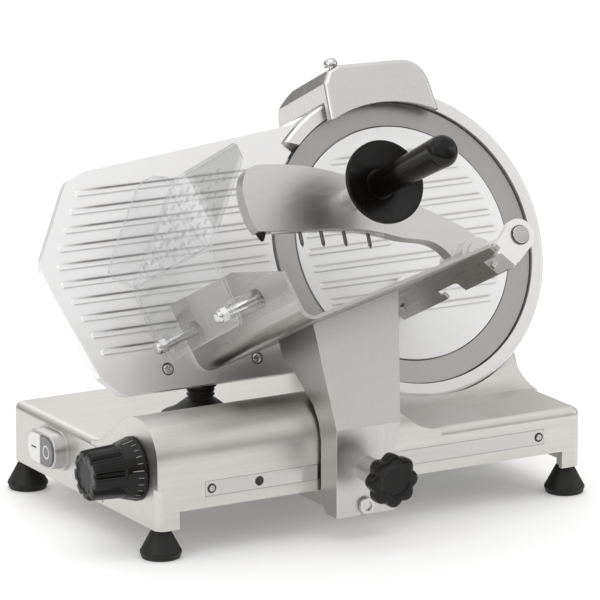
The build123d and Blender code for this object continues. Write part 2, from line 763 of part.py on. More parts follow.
with BuildPart() as cap_nuts:
    with BuildSketch(wall_plane(GUARD_FACE)):
        with Locations(*STUDS):
            RegularPolygon(6.6, 6)
    extrude(amount=6)
    with BuildSketch(wall_plane(GUARD_FACE + 5)):
        circles(5.4, *STUDS)
    extrude(amount=5)
    fillet(cap_nuts.edges().filter_by(GeomType.CIRCLE).sort_by(Axis.X)[:2], 3)
    with BuildSketch(wall_plane(GUARD_FACE - 1)):
        circles(STUD_R, *STUDS)
    extrude(amount=6, mode=Mode.SUBTRACT)
save(cap_nuts.part, "cap_nuts")

# ---- food pusher ------------------------------------------------------------------------------
PUSH_T = 105.0          # back of the pusher arm
PUSH_TH = 13.0
PUSH_BUSH_R = 11
HANDLE = (-109.5, 21.0)         # handle axis, X and U
HANDLE_BOSS_L = 24
HAND_GUARD_L = 27.5
# X, U of the arm's upper edge, its end round the rod, and its lower edge
PUSH_UPPER = [(-192.7, 60.3), (-165, 57.5), (-141.2, 52.7), (-112.3, 43.1), (-78, 25),
              (-46.3, 7.5), (-18, -9), (-6, -17.5), (3, -28)]
PUSH_END = [(3, -28), (6, -43), (-10, -60), (-22, -55)]
PUSH_LOWER = [(-22, -55), (-26, -40), (-40, -25), (-67.6, -17.5), (-80.9, -12.9),
              (-112.7, -4.5), (-162.3, 1.2), (-203, 4)]

with BuildPart() as pusher_bush:
    with BuildSketch(knife(92)):
        rings(PUSH_BUSH_R, PUSH_ROD_R + RUN, PUSH_ROD)
    extrude(amount=46)
    # thrust collar behind the arm
    with BuildSketch(knife(92)):
        rings(15, 10, PUSH_ROD)
    extrude(amount=3)
save(pusher_bush.part, "pusher_bush")

with BuildPart() as pusher_arm:
    with BuildSketch(knife(PUSH_T)):
        with BuildLine():
            Spline(*PUSH_UPPER)
            Polyline(*PUSH_END)
            Spline(*PUSH_LOWER)
            Spline(PUSH_LOWER[-1], (-209.5, 30), PUSH_UPPER[0],
                   tangents=((-0.5, 1), (1, 0.25)))
        make_face()
        rings(17.5, PUSH_BUSH_R + RUN, PUSH_ROD)
    extrude(amount=PUSH_TH)
    # hub wall around the bush
    with BuildSketch(knife(95.05)):
        rings(15.5, PUSH_BUSH_R + RUN, PUSH_ROD)
    extrude(amount=39)
    # boss for the handle
    with BuildSketch(knife(PUSH_T)):
        circles(10, HANDLE)
    extrude(amount=PUSH_TH + HANDLE_BOSS_L)
    with BuildSketch(knife(PUSH_T - 2)):
        circles(4.5, HANDLE)
    extrude(amount=60, mode=Mode.SUBTRACT)
save(pusher_arm.part, "pusher_arm")

TEETH = [(-161.6, 1.4), (-141.7, -1.0), (-120.5, -3.2), (-98, -7.5)]      # X, U of the roots
TOOTH_R = 1.6
TOOTH_L = 11
with BuildPart() as pusher_teeth:
    for tooth in TEETH:
        with BuildSketch(turning(tooth, PUSH_T + PUSH_TH / 2)):
            Circle(TOOTH_R)
        extrude(amount=TOOTH_L)
        # pointed tip
        with BuildSketch(turning((tooth[0], tooth[1] - TOOTH_L), PUSH_T + PUSH_TH / 2)):
            Circle(TOOTH_R)
        extrude(amount=3.4, taper=24)
    add(pusher_arm.part, mode=Mode.SUBTRACT)
save(pusher_teeth.part, "pusher_teeth")

# hand guard disc and grip of the pusher, turned parts on one stud
HANDLE_T = PUSH_T + PUSH_TH + HANDLE_BOSS_L          # end of the boss
HANDLE_AXIS = Axis(from_knife(HANDLE), NORMAL)

with BuildPart() as hand_guard:
    with BuildSketch(turning(HANDLE, HANDLE_T)):
        with BuildLine():
            Polyline((4.6, 0), (12, 0), (13, 14), (18, 22), (35.5, 33), (35.5, 36.5),
                     (33.5, 36.5), (15, 28.5), (13.0, HAND_GUARD_L), (4.6, HAND_GUARD_L),
                     (4.6, 0))
        make_face()
    revolve(axis=HANDLE_AXIS)
save(hand_guard.part, "hand_guard")

with BuildPart() as handle_grip:
    with BuildSketch(turning(HANDLE, HANDLE_T + HAND_GUARD_L)):
        with BuildLine():
            Polyline((11, 0), (11, 8), (13.6, 108))
            TangentArc((13.6, 108), (7, 116), tangent=(0.02, 1))
            Polyline((7, 116), (0, 117.5), (0, 0), (11, 0))
        make_face()
    revolve(axis=HANDLE_AXIS)
    # steel stud moulded in, through the hand guard and into the arm
    with BuildSketch(knife(PUSH_T)):
        circles(4.45, HANDLE)
    extrude(amount=HANDLE_BOSS_L + PUSH_TH + 30)
save(handle_grip.part, "handle_grip")

# ---- knife ------------------------------------------------------------------------------------
HUB_T = -6              # front of the blade's hub
HUB_BACK_T = -10
SCREW_PITCH_R = 30      # four screws hold the blade on the shaft flange
BLADE_SCREW_R = 2.5
SHAFT_R = 12
SHAFT_BORE = 5.3
BEARING_R = 21
PULLEY_T = -56
PULLEY_W = 14
PULLEY_R = 38           # belt seat of the knife pulley
MOTOR_PULLEY_R = 13
BELT_TH = 2

with BuildPart() as knife_blade:
    with BuildSketch(turning((0, 0))):
        with BuildLine():
            Polyline((18, HUB_T), (104.9, HUB_T), (104.9, -1.6), (124.8, -0.4),
                     (KNIFE_R, -0.8), (112, HUB_BACK_T), (18, HUB_BACK_T), (18, HUB_T))
        make_face()
    revolve(axis=KNIFE_AXIS)
    for hole_r, hole_l in ((4.15, -2.2), (2.6, -8)):      # head recesses, then holes
        with BuildSketch(knife(HUB_T)):
            with PolarLocations(SCREW_PITCH_R, 4):
                Circle(hole_r)
        extrude(amount=hole_l, mode=Mode.SUBTRACT)
save(knife_blade.part, "knife_blade")

with BuildPart() as blade_screws:
    for screw_r, screw_l in ((4.1, -2.2), (BLADE_SCREW_R, -10)):      # heads, then shanks
        with BuildSketch(knife(HUB_T)):
            with PolarLocations(SCREW_PITCH_R, 4):
                Circle(screw_r)
        extrude(amount=screw_l)
    with BuildSketch(knife(HUB_T)):
        with PolarLocations(SCREW_PITCH_R, 4):
            RegularPolygon(1.6, 6)
    extrude(amount=-1.4, mode=Mode.SUBTRACT)
save(blade_screws.part, "blade_screws")

with BuildPart() as knife_shaft:
    with BuildSketch(turning((0, 0))):
        with BuildLine():
            Polyline((SHAFT_BORE, -6.5), (17.9, -6.5), (17.9, HUB_BACK_T), (42, HUB_BACK_T),
                     (42, -16.5), (14, -16.5), (14, -24), (SHAFT_R, -24), (SHAFT_R, -72),
                     (SHAFT_BORE, -72), (SHAFT_BORE, -6.5))
        make_face()
    revolve(axis=KNIFE_AXIS)
    with BuildSketch(knife(HUB_BACK_T)):
        with PolarLocations(SCREW_PITCH_R, 4):
            Circle(BLADE_SCREW_R)
    extrude(amount=-7, mode=Mode.SUBTRACT)
save(knife_shaft.part, "knife_shaft")

with BuildPart() as knife_bearings:
    for bearing_t in (-34, -50):
        with BuildSketch(knife(bearing_t)):
            rings(BEARING_R, SHAFT_R + RUN, (0, 0))
        extrude(amount=10)
save(knife_bearings.part, "knife_bearings")

with BuildPart() as knife_pulley:
    with BuildSketch(turning((0, 0))):
        with BuildLine():
            Polyline((SHAFT_R, PULLEY_T), (40, PULLEY_T), (40, -57.5), (PULLEY_R, -57.5),
                     (PULLEY_R, -68.5), (40, -68.5), (40, PULLEY_T - PULLEY_W),
                     (SHAFT_R, PULLEY_T - PULLEY_W), (SHAFT_R, PULLEY_T))
        make_face()
    revolve(axis=KNIFE_AXIS)
    with BuildSketch(knife(PULLEY_T)):
        with PolarLocations(25, 5):
            Circle(6)
    extrude(amount=-PULLEY_W, mode=Mode.SUBTRACT)
save(knife_pulley.part, "knife_pulley")

# ---- knife housing with the guard ring -----------------------------------------------------------
HOUSING_T = -22.0       # back of the housing
RING_START = -130.0     # lower end of the ring, degrees from +X
RING_END = 133.5        # upper end of the ring on its outside
RING_END_IN = 130.6     # and on its inside
POST = (0, 38)          # sharpener post: X, distance behind the knife plane
POST_R = 6


def ring_outline(inner_r, inner_end):
    """Closed arc band out to GUARD_R, in the outline being drawn."""
    Line(polar(inner_r, RING_START), polar(GUARD_R, RING_START))
    CenterArc((0, 0), GUARD_R, RING_START, RING_END - RING_START)
    Line(polar(GUARD_R, RING_END), polar(inner_r, inner_end))
    CenterArc((0, 0), inner_r, inner_end, RING_START - inner_end)


with BuildPart() as knife_housing:
    with BuildSketch(knife(HOUSING_T)):
        Circle(122)
        with BuildLine():
            ring_outline(118.0, RING_END)
        make_face()
        Circle(BEARING_R, mode=Mode.SUBTRACT)
    extrude(amount=4.5)
    with BuildSketch(knife(HOUSING_T)):
        with BuildLine():
            ring_outline(GUARD_IN, RING_END_IN)
        make_face()
    extrude(amount=25)
    fillet(knife_housing.edges().filter_by(GeomType.CIRCLE).filter_by(
        lambda e: abs(e.radius - GUARD_R) < 0.01 and center_t(e) > 0), 3)
    # bearing boss
    with BuildSketch(knife(HOUSING_T)):
        rings(30, BEARING_R, (0, 0))
    extrude(amount=-30)
    # sleeve that carries the sharpener post
    with BuildSketch(crosswise(100)):
        with Locations(POST):
            RectangleRounded(24, 32, 5)
        circles(POST_R + RUN, POST, mode=Mode.SUBTRACT)
    extrude(amount=31)
save(knife_housing.part, "knife_housing")

# ribs across the knife cover and the gauge plate, at the same heights
RIB_W = 5.4
RIB_H = 1.4
RIB_TAPER = 32
RIB_PITCH = 15.2
RIBS_U = [77.4 - RIB_PITCH * i for i in range(10)]
CENTRE_GAP = 12         # half the gap in the rib that crosses the centre
TIE_ROD_R = 5

with BuildPart() as knife_cover:
    with BuildSketch(knife(-4.6)):
        Circle(COVER_R)
    extrude(amount=4.3)
    fillet(knife_cover.edges().filter_by(GeomType.CIRCLE).filter_by(
        lambda e: center_t(e) > -1), 0.8)
    with BuildSketch(knife(-0.3)):
        for i, rib_u in enumerate(RIBS_U):
            half = math.sqrt((COVER_R - 9) ** 2 - rib_u ** 2)
            if i == 5:
                middle = (half + CENTRE_GAP) / 2
                with Locations((-middle, rib_u), (middle, rib_u)):
                    SlotOverall(half - CENTRE_GAP, RIB_W)
            else:
                with Locations((0, rib_u)):
                    SlotOverall(2 * half, RIB_W)
    extrude(amount=RIB_H, taper=RIB_TAPER)
    with BuildSketch(knife(-6.2)):
        Circle(10)
    extrude(amount=1.7)
    with BuildSketch(knife(-10)):
        Circle(TIE_ROD_R + RUN)
    extrude(amount=6.5, mode=Mode.SUBTRACT)
save(knife_cover.part, "knife_cover")

with BuildPart() as cover_knob:
    with BuildSketch(knife(-82)):
        Circle(14.5)
        with PolarLocations(13.5, 6):
            Circle(4.6)
    extrude(amount=-16)
    with BuildSketch(knife(-98)):
        Circle(12)
    extrude(amount=-3)
    chamfer(cover_knob.edges().filter_by(GeomType.CIRCLE).sort_by(Axis.Y)[-1:], 0.6)
    # long tie rod through the hollow knife shaft into the cover
    with BuildSketch(knife(-4)):
        Circle(TIE_ROD_R)
    extrude(amount=-96)
save(cover_knob.part, "cover_knob")

BELT_COVER_TH = 3
BELT_COVER_SCREWS = [(-44, 10), (66, 10), (0, 76)]      # X, U
with BuildPart() as belt_cover:
    with BuildSketch(knife(TOWER_BACK_T)):
        with BuildLine():
            Polyline((-46, -9), (-49, -9))
            Line((-49, -9), (-49, -5))
            ThreePointArc((-49, -5), (-30, 64), (0, 84))
            ThreePointArc((0, 84), (51, 60), (75, 0))
            Polyline((75, 0), (76, -9), (-46, -9))
        make_face()
        Circle(7, mode=Mode.SUBTRACT)
        circles(2.2, *BELT_COVER_SCREWS, mode=Mode.SUBTRACT)
    extrude(amount=-BELT_COVER_TH)
save(belt_cover.part, "belt_cover")

with BuildPart() as cover_screws:
    add(strip_screws.part)
    with BuildSketch(knife(TOWER_BACK_T - BELT_COVER_TH)):
        circles(4, *BELT_COVER_SCREWS)
    extrude(amount=-2.4)
    with BuildSketch(knife(TOWER_BACK_T)):
        circles(2.1, *BELT_COVER_SCREWS)
    extrude(amount=-3.2)
save(cover_screws.part, "cover_screws")

# ---- motor and belt -----------------------------------------------------------------------------------
MOTOR_X = 12.0
MOTOR_U = -78.0
MOTOR = (MOTOR_X, MOTOR_U)
MOTOR_R = 34
CASE_IN_R = 31
MOTOR_SHAFT_R = 6
# front T, outer radius, inner radius, length backwards
CASE_RINGS = [
    (-74, MOTOR_R, MOTOR_SHAFT_R + RUN, 4),         # front end cap
    (-78, MOTOR_R, CASE_IN_R, 36),                  # shell
    (-114, MOTOR_R, MOTOR_SHAFT_R + RUN, 4),        # rear end cap
    (-82, CASE_IN_R, 20.5, 28),                     # wound stator pressed into the case
]
with BuildPart() as motor_case:
    for ring_t, outer_r, inner_r, length in CASE_RINGS:
        with BuildSketch(knife(ring_t)):
            rings(outer_r, inner_r, MOTOR)
        extrude(amount=-length)
save(motor_case.part, "motor_case")

with BuildPart() as motor_rotor:
    with BuildSketch(knife(-83)):
        circles(20, MOTOR)
    extrude(amount=-26)
    with BuildSketch(knife(PULLEY_T)):
        circles(MOTOR_SHAFT_R, MOTOR)
    extrude(amount=-61)
save(motor_rotor.part, "motor_rotor")

with BuildPart() as motor_pulley:
    with BuildSketch(knife(PULLEY_T)):
        rings(MOTOR_PULLEY_R, MOTOR_SHAFT_R, MOTOR)
    extrude(amount=-PULLEY_W)
save(motor_pulley.part, "motor_pulley")

with BuildPart() as drive_belt:
    with BuildSketch(knife(-58)):
        Circle(PULLEY_R + BELT_TH + RUN)
        circles(MOTOR_PULLEY_R + BELT_TH + RUN, MOTOR)
        make_hull()
    extrude(amount=-10)
    with BuildSketch(knife(-57)):
        Circle(PULLEY_R + RUN)
        circles(MOTOR_PULLEY_R + RUN, MOTOR)
        make_hull()
    extrude(amount=-12, mode=Mode.SUBTRACT)
save(drive_belt.part, "drive_belt")

with BuildPart() as motor_bracket:
    with BuildSketch(knife(-71)):
        with Locations((14.5, MOTOR_U)):
            RectangleRounded(116, 84, 4)
        circles(9, MOTOR, mode=Mode.SUBTRACT)
        circles(2.1, *[(MOTOR_X + x, MOTOR_U + y) for y in (-22, 22) for x in (-22, 22)],
                mode=Mode.SUBTRACT)
    extrude(amount=-3)
save(motor_bracket.part, "motor_bracket")

with BuildPart() as capacitor:
    with BuildSketch(side(196)):
        circles(15, (205, 50))
    extrude(amount=52)
    fillet(capacitor.edges(), 1.5)
save(capacitor.part, "capacitor")

# ---- gauge plate ------------------------------------------------------------------------------------------
PLATE_T = -1.0          # front of the plate
# X, U of the plate's outline and of its hollow back
PLATE_OUTLINE = [(-66, 115.7), (-75.5, 115.7), (-290, 96), (-306, 90), (-311, 84),
                 (-345, 26.5), (-347.5, 15.4), (-340, -10.5), (-315, -80), (-297, -98),
                 (-70, -99)]
HOLLOW_OUTLINE = [(-80, 109), (-288, 90.5), (-303, 84.5), (-338.5, 25), (-341, 14.5),
                  (-334, -12), (-310, -76), (-294, -92), (-90, -93)]
PLATE_SCREWS = [(-250.8, -80.8), (-165, -82)]           # X, U
RIB_RIGHT_R = 131.5     # ribs end on this circle about the knife
RIB_INSET = 13          # and this far inside the left edge


def plate_left(up):
    """X of the plate's left edge, in three straight stretches."""
    if up > 26:
        return -311 - (84 - up) * 34 / 57.5
    if up > -10:
        return -346
    return -341 + (-10 - up) * 26 / 70


with BuildPart() as gauge_plate:
    with BuildSketch(knife(PLATE_T)):
        with BuildLine():
            Polyline(*PLATE_OUTLINE, close=True)
        make_face()
        fillet(vertices().sort_by(Axis.X)[0:1], 8)
        fillet([vertex_at((-297, -98))], 16)
        Circle(127.6, mode=Mode.SUBTRACT)
    extrude(amount=-9)
    # clearance round the ends of the guard ring
    with BuildSketch(knife(PLATE_T + 1)):
        Circle(GUARD_R + 1.2)
        with BuildLine():
            upper = 400 * math.tan(math.radians(180 - RING_END - 0.9))
            lower = -400 * math.tan(math.radians(180 + RING_START - 0.9))
            Polyline((0, 0), (-400, upper), (-400, lower), (0, 0))
        make_face(mode=Mode.SUBTRACT)
    extrude(amount=-11, mode=Mode.SUBTRACT)
    # hollow back
    with BuildSketch(knife(PLATE_T - 9.5)):
        with BuildLine():
            Polyline(*HOLLOW_OUTLINE, close=True)
        make_face()
        Circle(144.5, mode=Mode.SUBTRACT)
    extrude(amount=4.5, mode=Mode.SUBTRACT)
    # ribs that let the food slide
    with BuildSketch(knife(PLATE_T)):
        for rib_u in RIBS_U:
            left = plate_left(rib_u) + RIB_INSET
            right = -math.sqrt(RIB_RIGHT_R ** 2 - rib_u ** 2)
            with Locations(((left + right) / 2, rib_u)):
                SlotOverall(right - left, RIB_W)
    extrude(amount=RIB_H, taper=RIB_TAPER)
    for hole_r, hole_l in ((4.6, -2), (2.6, -10)):      # head recesses, then holes
        with BuildSketch(knife(PLATE_T)):
            circles(hole_r, *PLATE_SCREWS)
        extrude(amount=hole_l, mode=Mode.SUBTRACT)
save(gauge_plate.part, "gauge_plate")

with BuildPart() as gauge_screws:
    with BuildSketch(knife(PLATE_T - 0.3)):
        circles(4.5, *PLATE_SCREWS)
    extrude(amount=-1.7)
    with BuildSketch(knife(PLATE_T - 2)):
        circles(2.5, *PLATE_SCREWS)
    extrude(amount=-10)
save(gauge_screws.part, "gauge_screws")

POST_X = 106.0          # gauge post through the deck
POST_Y = 124.0
GAUGE_GUIDE = Vector(FOOT_X + POST_X, FOOT_Y + POST_Y, 47.0)
GAUGE_ROD_R = 6


def guide(ahead):
    """Plane square to the gauge guide rod, ahead mm along the knife normal."""
    return Plane(origin=GAUGE_GUIDE + NORMAL * ahead, x_dir=(1, 0, 0), z_dir=NORMAL)


with BuildPart() as gauge_support:
    # bar screwed behind the plate
    with BuildSketch(knife(PLATE_T - 5)):
        with Locations((-207.5, -81.5)):
            RectangleRounded(112, 20, 5)
    extrude(amount=-13)
    # post down through the deck
    with BuildSketch(level(44)):
        circles(8, (POST_X, POST_Y))
    extrude(amount=71)
    # slider on the guide rod
    with BuildSketch(guide(-12)):
        Rectangle(26, 20)
    extrude(amount=24)
    # link towards the dial's scroll
    with BuildSketch(level(52)):
        with Locations((62, 123)):
            Rectangle(68, 10)
    extrude(amount=16)
    with BuildSketch(level(60.5)):
        with Locations((32, 86)):
            Rectangle(8, 84)
    extrude(amount=7.5)
    # holes for the guide rod and the plate screws
    with BuildSketch(guide(-20)):
        Circle(GAUGE_ROD_R + RUN)
    extrude(amount=40, mode=Mode.SUBTRACT)
    with BuildSketch(knife(PLATE_T)):
        circles(2.5, *PLATE_SCREWS)
    extrude(amount=-12, mode=Mode.SUBTRACT)
save(gauge_support.part, "gauge_support")

with BuildPart() as gauge_guide_rod:
    # end plates, front then back: T, height of the centre above the rod, height
    for plate_t, plate_mid, plate_h in ((20, 8, 34), (-31, 20, 58)):
        with BuildSketch(guide(plate_t)):
            with Locations((0, plate_mid)):
                Rectangle(24, plate_h)
        extrude(amount=5)
    # cut off under the deck
    with BuildSketch(level(DECK_Z - 6)):
        with Locations((POST_X, POST_Y)):
            Rectangle(90, 150)
    extrude(amount=60, mode=Mode.SUBTRACT)
    with BuildSketch(guide(-31)):
        Circle(GAUGE_ROD_R)
    extrude(amount=56)
save(gauge_guide_rod.part, "gauge_guide_rod")

# turned seal on the deck around the gauge post
BOOT_Y = 129.4
# radius, height above the deck
BOOT_SECTION = [(17, 0), (33, 0), (34.5, 1.5), (33, 3), (24, 6.5), (19.5, 12), (19, 16),
                (16.5, 16), (17, 9)]
with BuildPart() as boot_seal:
    with BuildSketch(front(BOOT_Y)):
        with BuildLine():
            Polyline(*[(POST_X + x, DECK_Z + z) for x, z in BOOT_SECTION], close=True)
        make_face()
    revolve(axis=Axis((FOOT_X + POST_X, FOOT_Y + BOOT_Y, 0), (0, 0, 1)))
    add(base_casting.part, mode=Mode.SUBTRACT)
save(boot_seal.part, "boot_seal")

# ---- thickness dial ---------------------------------------------------------------------------------------------
DIAL_ORIGIN = (FOOT_X, FOOT_Y + DIAL[0], DIAL[1])
# half-section plane of the dial: local x runs left, y is radius, downwards
dial_section = Plane(origin=DIAL_ORIGIN, x_dir=(-1, 0, 0), z_dir=(0, -1, 0))
with BuildPart() as dial_knob:
    with BuildSketch(dial_section):
        with BuildLine():
            Polyline((9.9, 5), (9.9, 27), (13, 27), (21.5, 24.3), (23, 22.6), (53.5, 21.2),
                     (55, 19.8), (55, 5), (9.9, 5))
        make_face()
    revolve(axis=Axis(DIAL_ORIGIN, (1, 0, 0)))
    # grip flutes around the rim
    with BuildSketch(side(-56)):
        with Locations(DIAL):
            with PolarLocations(24.8, 9):
                Circle(5.2)
    extrude(amount=30, mode=Mode.SUBTRACT)
save(dial_knob.part, "dial_knob")

# X of the left end, radius, length
DIAL_SHAFT_STEPS = [
    (-52, 5, 76),                       # shaft
    (-9.8, DIAL_COLLAR_R, 10),          # collar in the body wall
    (12, 10, 8),                        # scroll that pushes the gauge link
]
with BuildPart() as dial_shaft:
    for step_x, step_r, step_l in DIAL_SHAFT_STEPS:
        with BuildSketch(side(step_x)):
            circles(step_r, DIAL)
        extrude(amount=step_l)
save(dial_shaft.part, "dial_shaft")

with BuildPart() as dial_plate:
    with BuildSketch(side(BODY_X1 - 0.7)):
        with Locations((109, 49.5)):
            RectangleRounded(50, 46, 2)
    extrude(amount=0.7)
save(dial_plate.part, "dial_plate")

# ---- switch ---------------------------------------------------------------------------------------------------------
with BuildPart() as switch_housing:
    with BuildSketch(side(BODY_X1)):
        with Locations(SWITCH):
            RectangleRounded(56, 34, 15.5)
    extrude(amount=-2.5)
    with BuildSketch(side(BODY_X1 - 2.5)):
        with Locations(SWITCH):
            RectangleRounded(52, 30.5, 14.5)
    extrude(amount=-10.5, taper=3)
    fillet(switch_housing.faces().sort_by(Axis.X)[0].edges(), 1)
    with BuildSketch(side(BODY_X1 - 14)):
        with Locations(SWITCH):
            RectangleRounded(45.4, 25.4, 12)
    extrude(amount=10.6, mode=Mode.SUBTRACT)
    # contact block behind the panel
    with BuildSketch(side(BODY_X1 - 2)):
        with Locations(SWITCH):
            Rectangle(41.6, 21.6)
    extrude(amount=28)
save(switch_housing.part, "switch_housing")

# each button is half of a rounded block; the start button is the rear half
for button_name, cut_side in (("start_button", -1), ("stop_button", 1)):
    with BuildPart() as button:
        with BuildSketch(side(BODY_X1 - 14.2)):
            with Locations(SWITCH):
                RectangleRounded(45, 25, 11.8)
            with Locations((SWITCH_Y + cut_side * (20 - 0.15), SWITCH_Z)):
                Rectangle(40, 40, mode=Mode.SUBTRACT)
        extrude(amount=7)
    save(button.part, button_name)

# ---- sharpener -----------------------------------------------------------------------------------------------------------
STONE_U = 146
SPINDLE_R = 3
# name, X, back T, radius, width
STONES = [("grinding", 32.0, -34.0, 8.0, 8.0), ("deburring", -26.0, 4.6, 6.2, 3.4)]
LOCK_X = -37.5          # ball knob on the roof
LOCK_T = 8
LOCK_U = 161.8
LOCK_STEM_R = 2.5

# inside form of the hood
with BuildPart() as hood_core:
    with BuildSketch(knife(-76.5)):
        with BuildLine():
            Polyline((-49, 90), (-47.2, 144), (-41, 153), (-33, 156.5), (28.4, 155.2))
            Spline((28.4, 155.2), (44, 148), (53.3, 110), tangents=((1, -0.03), (0.16, -1)))
            Polyline((53.3, 110), (54, 90), (-49, 90))
        make_face()
    extrude(amount=88.5)
    with BuildSketch(profile(-100)):
        with BuildLine():
            Spline((-77, 118), (-76.2, 132.2), (-71.6, 143), (-62.2, 149.7), (-44.2, 154.3),
                   (-24, 157.2))
            Polyline((-24, 157.2), (-24, 175), (-95, 175), (-95, 118), (-77, 118))
        make_face()
    extrude(amount=-200, mode=Mode.SUBTRACT)

with BuildPart() as sharpener_hood:
    with BuildSketch(knife(-80)):
        with BuildLine():
            Polyline((-52, 112.4), (-50.5, 145), (-44, 156), (-34, 160))
            Line((-34, 160), (28.7, 158.6))
            Spline((28.7, 158.6), (47, 150.5), (56.5, 110.8), tangents=((1, -0.03), (0.16, -1)))
            Polyline((56.5, 110.8), (-52, 112.4))
        make_face()
    extrude(amount=95)
    # roof falls away to the rear and rounds down into the back wall
    with BuildSketch(profile(-100)):
        with BuildLine():
            Spline((-80.6, 118), (-79.7, 133), (-74.4, 145.8), (-63.6, 153), (-45, 157.8),
                   (-24, 160.8))
            Polyline((-24, 160.8), (-24, 175), (-95, 175), (-95, 118), (-80.6, 118))
        make_face()
    extrude(amount=-200, mode=Mode.SUBTRACT)
    fillet(sharpener_hood.faces().sort_by(NORMAL_AXIS)[-1].edges().filter_by(
        lambda e: (e.center() - KNIFE).dot(UP) > 118), 4)
    # hollow, open below
    add(hood_core.part, mode=Mode.SUBTRACT)
    # lower edge: arcs round the knife centre, smaller in front of the ring than over it
    with BuildSketch(knife(-90)):
        Circle(139.3)
    extrude(amount=97, mode=Mode.SUBTRACT)
    with BuildSketch(knife(6)):
        Circle(122.6)
    extrude(amount=12, mode=Mode.SUBTRACT)
    # boss under the roof, and the post below it
    with BuildSketch(crosswise(141)):
        circles(9, POST)
    extrude(amount=15.8)
    with BuildSketch(crosswise(103)):
        circles(POST_R, POST)
    extrude(amount=40)
    # guides of the two stone spindles in the back wall, and the lock knob's hole
    with BuildSketch(knife(-84)):
        circles(SPINDLE_R + RUN, *[(x, STONE_U) for _, x, *_ in STONES])
    extrude(amount=25, mode=Mode.SUBTRACT)
    with BuildSketch(crosswise(150)):
        circles(LOCK_STEM_R + RUN, (LOCK_X, -LOCK_T))
    extrude(amount=20, mode=Mode.SUBTRACT)
save(sharpener_hood.part, "sharpener_hood")

# ball knob with a flat underside, on a stem
BALL_R = 6.2
BALL_FLAT = 1.4         # flat's distance below the ball's centre
flat_angle = math.degrees(math.asin(BALL_FLAT / BALL_R))
ball_centre = from_knife((LOCK_X, LOCK_U), LOCK_T)
with BuildPart() as sharpener_lock:
    with BuildSketch(crosswise(151)):
        circles(LOCK_STEM_R, (LOCK_X, -LOCK_T))
    extrude(amount=12)
    with BuildSketch(Plane(origin=ball_centre, x_dir=(1, 0, 0), z_dir=NORMAL)):
        with BuildLine():
            CenterArc((0, 0), BALL_R, -flat_angle, 90 + flat_angle)
            Polyline((0, BALL_R), (0, -BALL_FLAT),
                     (BALL_R * math.cos(math.radians(flat_angle)), -BALL_FLAT))
        make_face()
    revolve(axis=Axis(ball_centre, UP))
save(sharpener_lock.part, "sharpener_lock")

for stone_name, stone_x, stone_t, stone_r, stone_w in STONES:
    centre = (stone_x, STONE_U)
    with BuildPart() as stone:
        with BuildSketch(knife(stone_t)):
            rings(stone_r, SPINDLE_R + RUN, centre)
        extrude(amount=stone_w)
    save(stone.part, stone_name + "_stone")
    with BuildPart() as spindle:
        with BuildSketch(knife(-86)):
            circles(SPINDLE_R, centre)
        extrude(amount=86 + stone_t + stone_w)
        # collar behind the stone
        with BuildSketch(knife(stone_t - 2.05)):
            circles(4.6, centre)
        extrude(amount=2)
        # push button on the spindle's rear end
        with BuildSketch(knife(-92)):
            circles(8, centre)
        extrude(amount=7.5)
        chamfer(spindle.faces().sort_by(NORMAL_AXIS)[0].edges(), 0.8)
    save(spindle.part, stone_name + "_spindle")

# ---- mains cable ---------------------------------------------------------------------------------------------------------------
with BuildPart() as cable_gland:
    with BuildSketch(front(BODY_Y2 - 5)):
        rings(7.9, CORD_HOLE_R, CORD_OUTLET)
    extrude(amount=-5)
    with BuildSketch(front(BODY_Y2)):
        rings(10, CORD_HOLE_R, CORD_OUTLET)
    extrude(amount=-9)
    # nut inside the wall
    with BuildSketch(front(BODY_Y2 - 5)):
        with Locations(CORD_OUTLET):
            RegularPolygon(10.5, 6)
            Circle(CORD_HOLE_R, mode=Mode.SUBTRACT)
    extrude(amount=5)
save(cable_gland.part, "cable_gland")

# x, y, z along the cord: straight out of the body, then down to the counter and the plug
CORD_PATH = [(60, 232, 50), (60, 261, 50), (66, 276, 30), (84, 281, 9), (130, 280, 5.2),
             (190, 277, 7), (230, 276, 15)]
cord_points = [(FOOT_X + x, FOOT_Y + y, z) for x, y, z in CORD_PATH]
with BuildPart() as power_cord:
    with BuildLine():
        lead = Line(cord_points[0], cord_points[1])
        Spline(*cord_points[1:], tangents=((0, 1, 0), (1, 0, 0)))
    with BuildSketch(Plane(origin=lead @ 0, z_dir=lead % 0)):
        Circle(3.9)
    sweep()
save(power_cord.part, "power_cord")

PLUG_X = 222
PLUG = (276, 15)        # Y and Z
with BuildPart() as mains_plug:
    with BuildSketch(side(PLUG_X)):
        circles(6, PLUG)
    extrude(amount=14, taper=-12)
    with BuildSketch(side(PLUG_X + 14)):
        with Locations(PLUG):
            RectangleRounded(22, 29, 8)
    extrude(amount=34)
    with BuildSketch(side(PLUG_X)):
        circles(CORD_HOLE_R, PLUG)
    extrude(amount=10, mode=Mode.SUBTRACT)
    # pins
    with BuildSketch(side(268)):
        circles(2.4, (PLUG[0], 5.5), (PLUG[0], 24.5))
    extrude(amount=21)
save(mains_plug.part, "mains_plug")
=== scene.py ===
"""Looks of a deli meat slicer, built round its CAD frame, with studio and camera.

Metres in the scene, millimetres in the measurements. The operator stands on the -Y side and
looks along +Y, +X is to the operator's right and Z = 0 is the floor. The knife stands tilted,
its face turned forwards and up.
"""

import math
import random
from functools import reduce

import bmesh
import bpy
from mathutils import Matrix, Vector


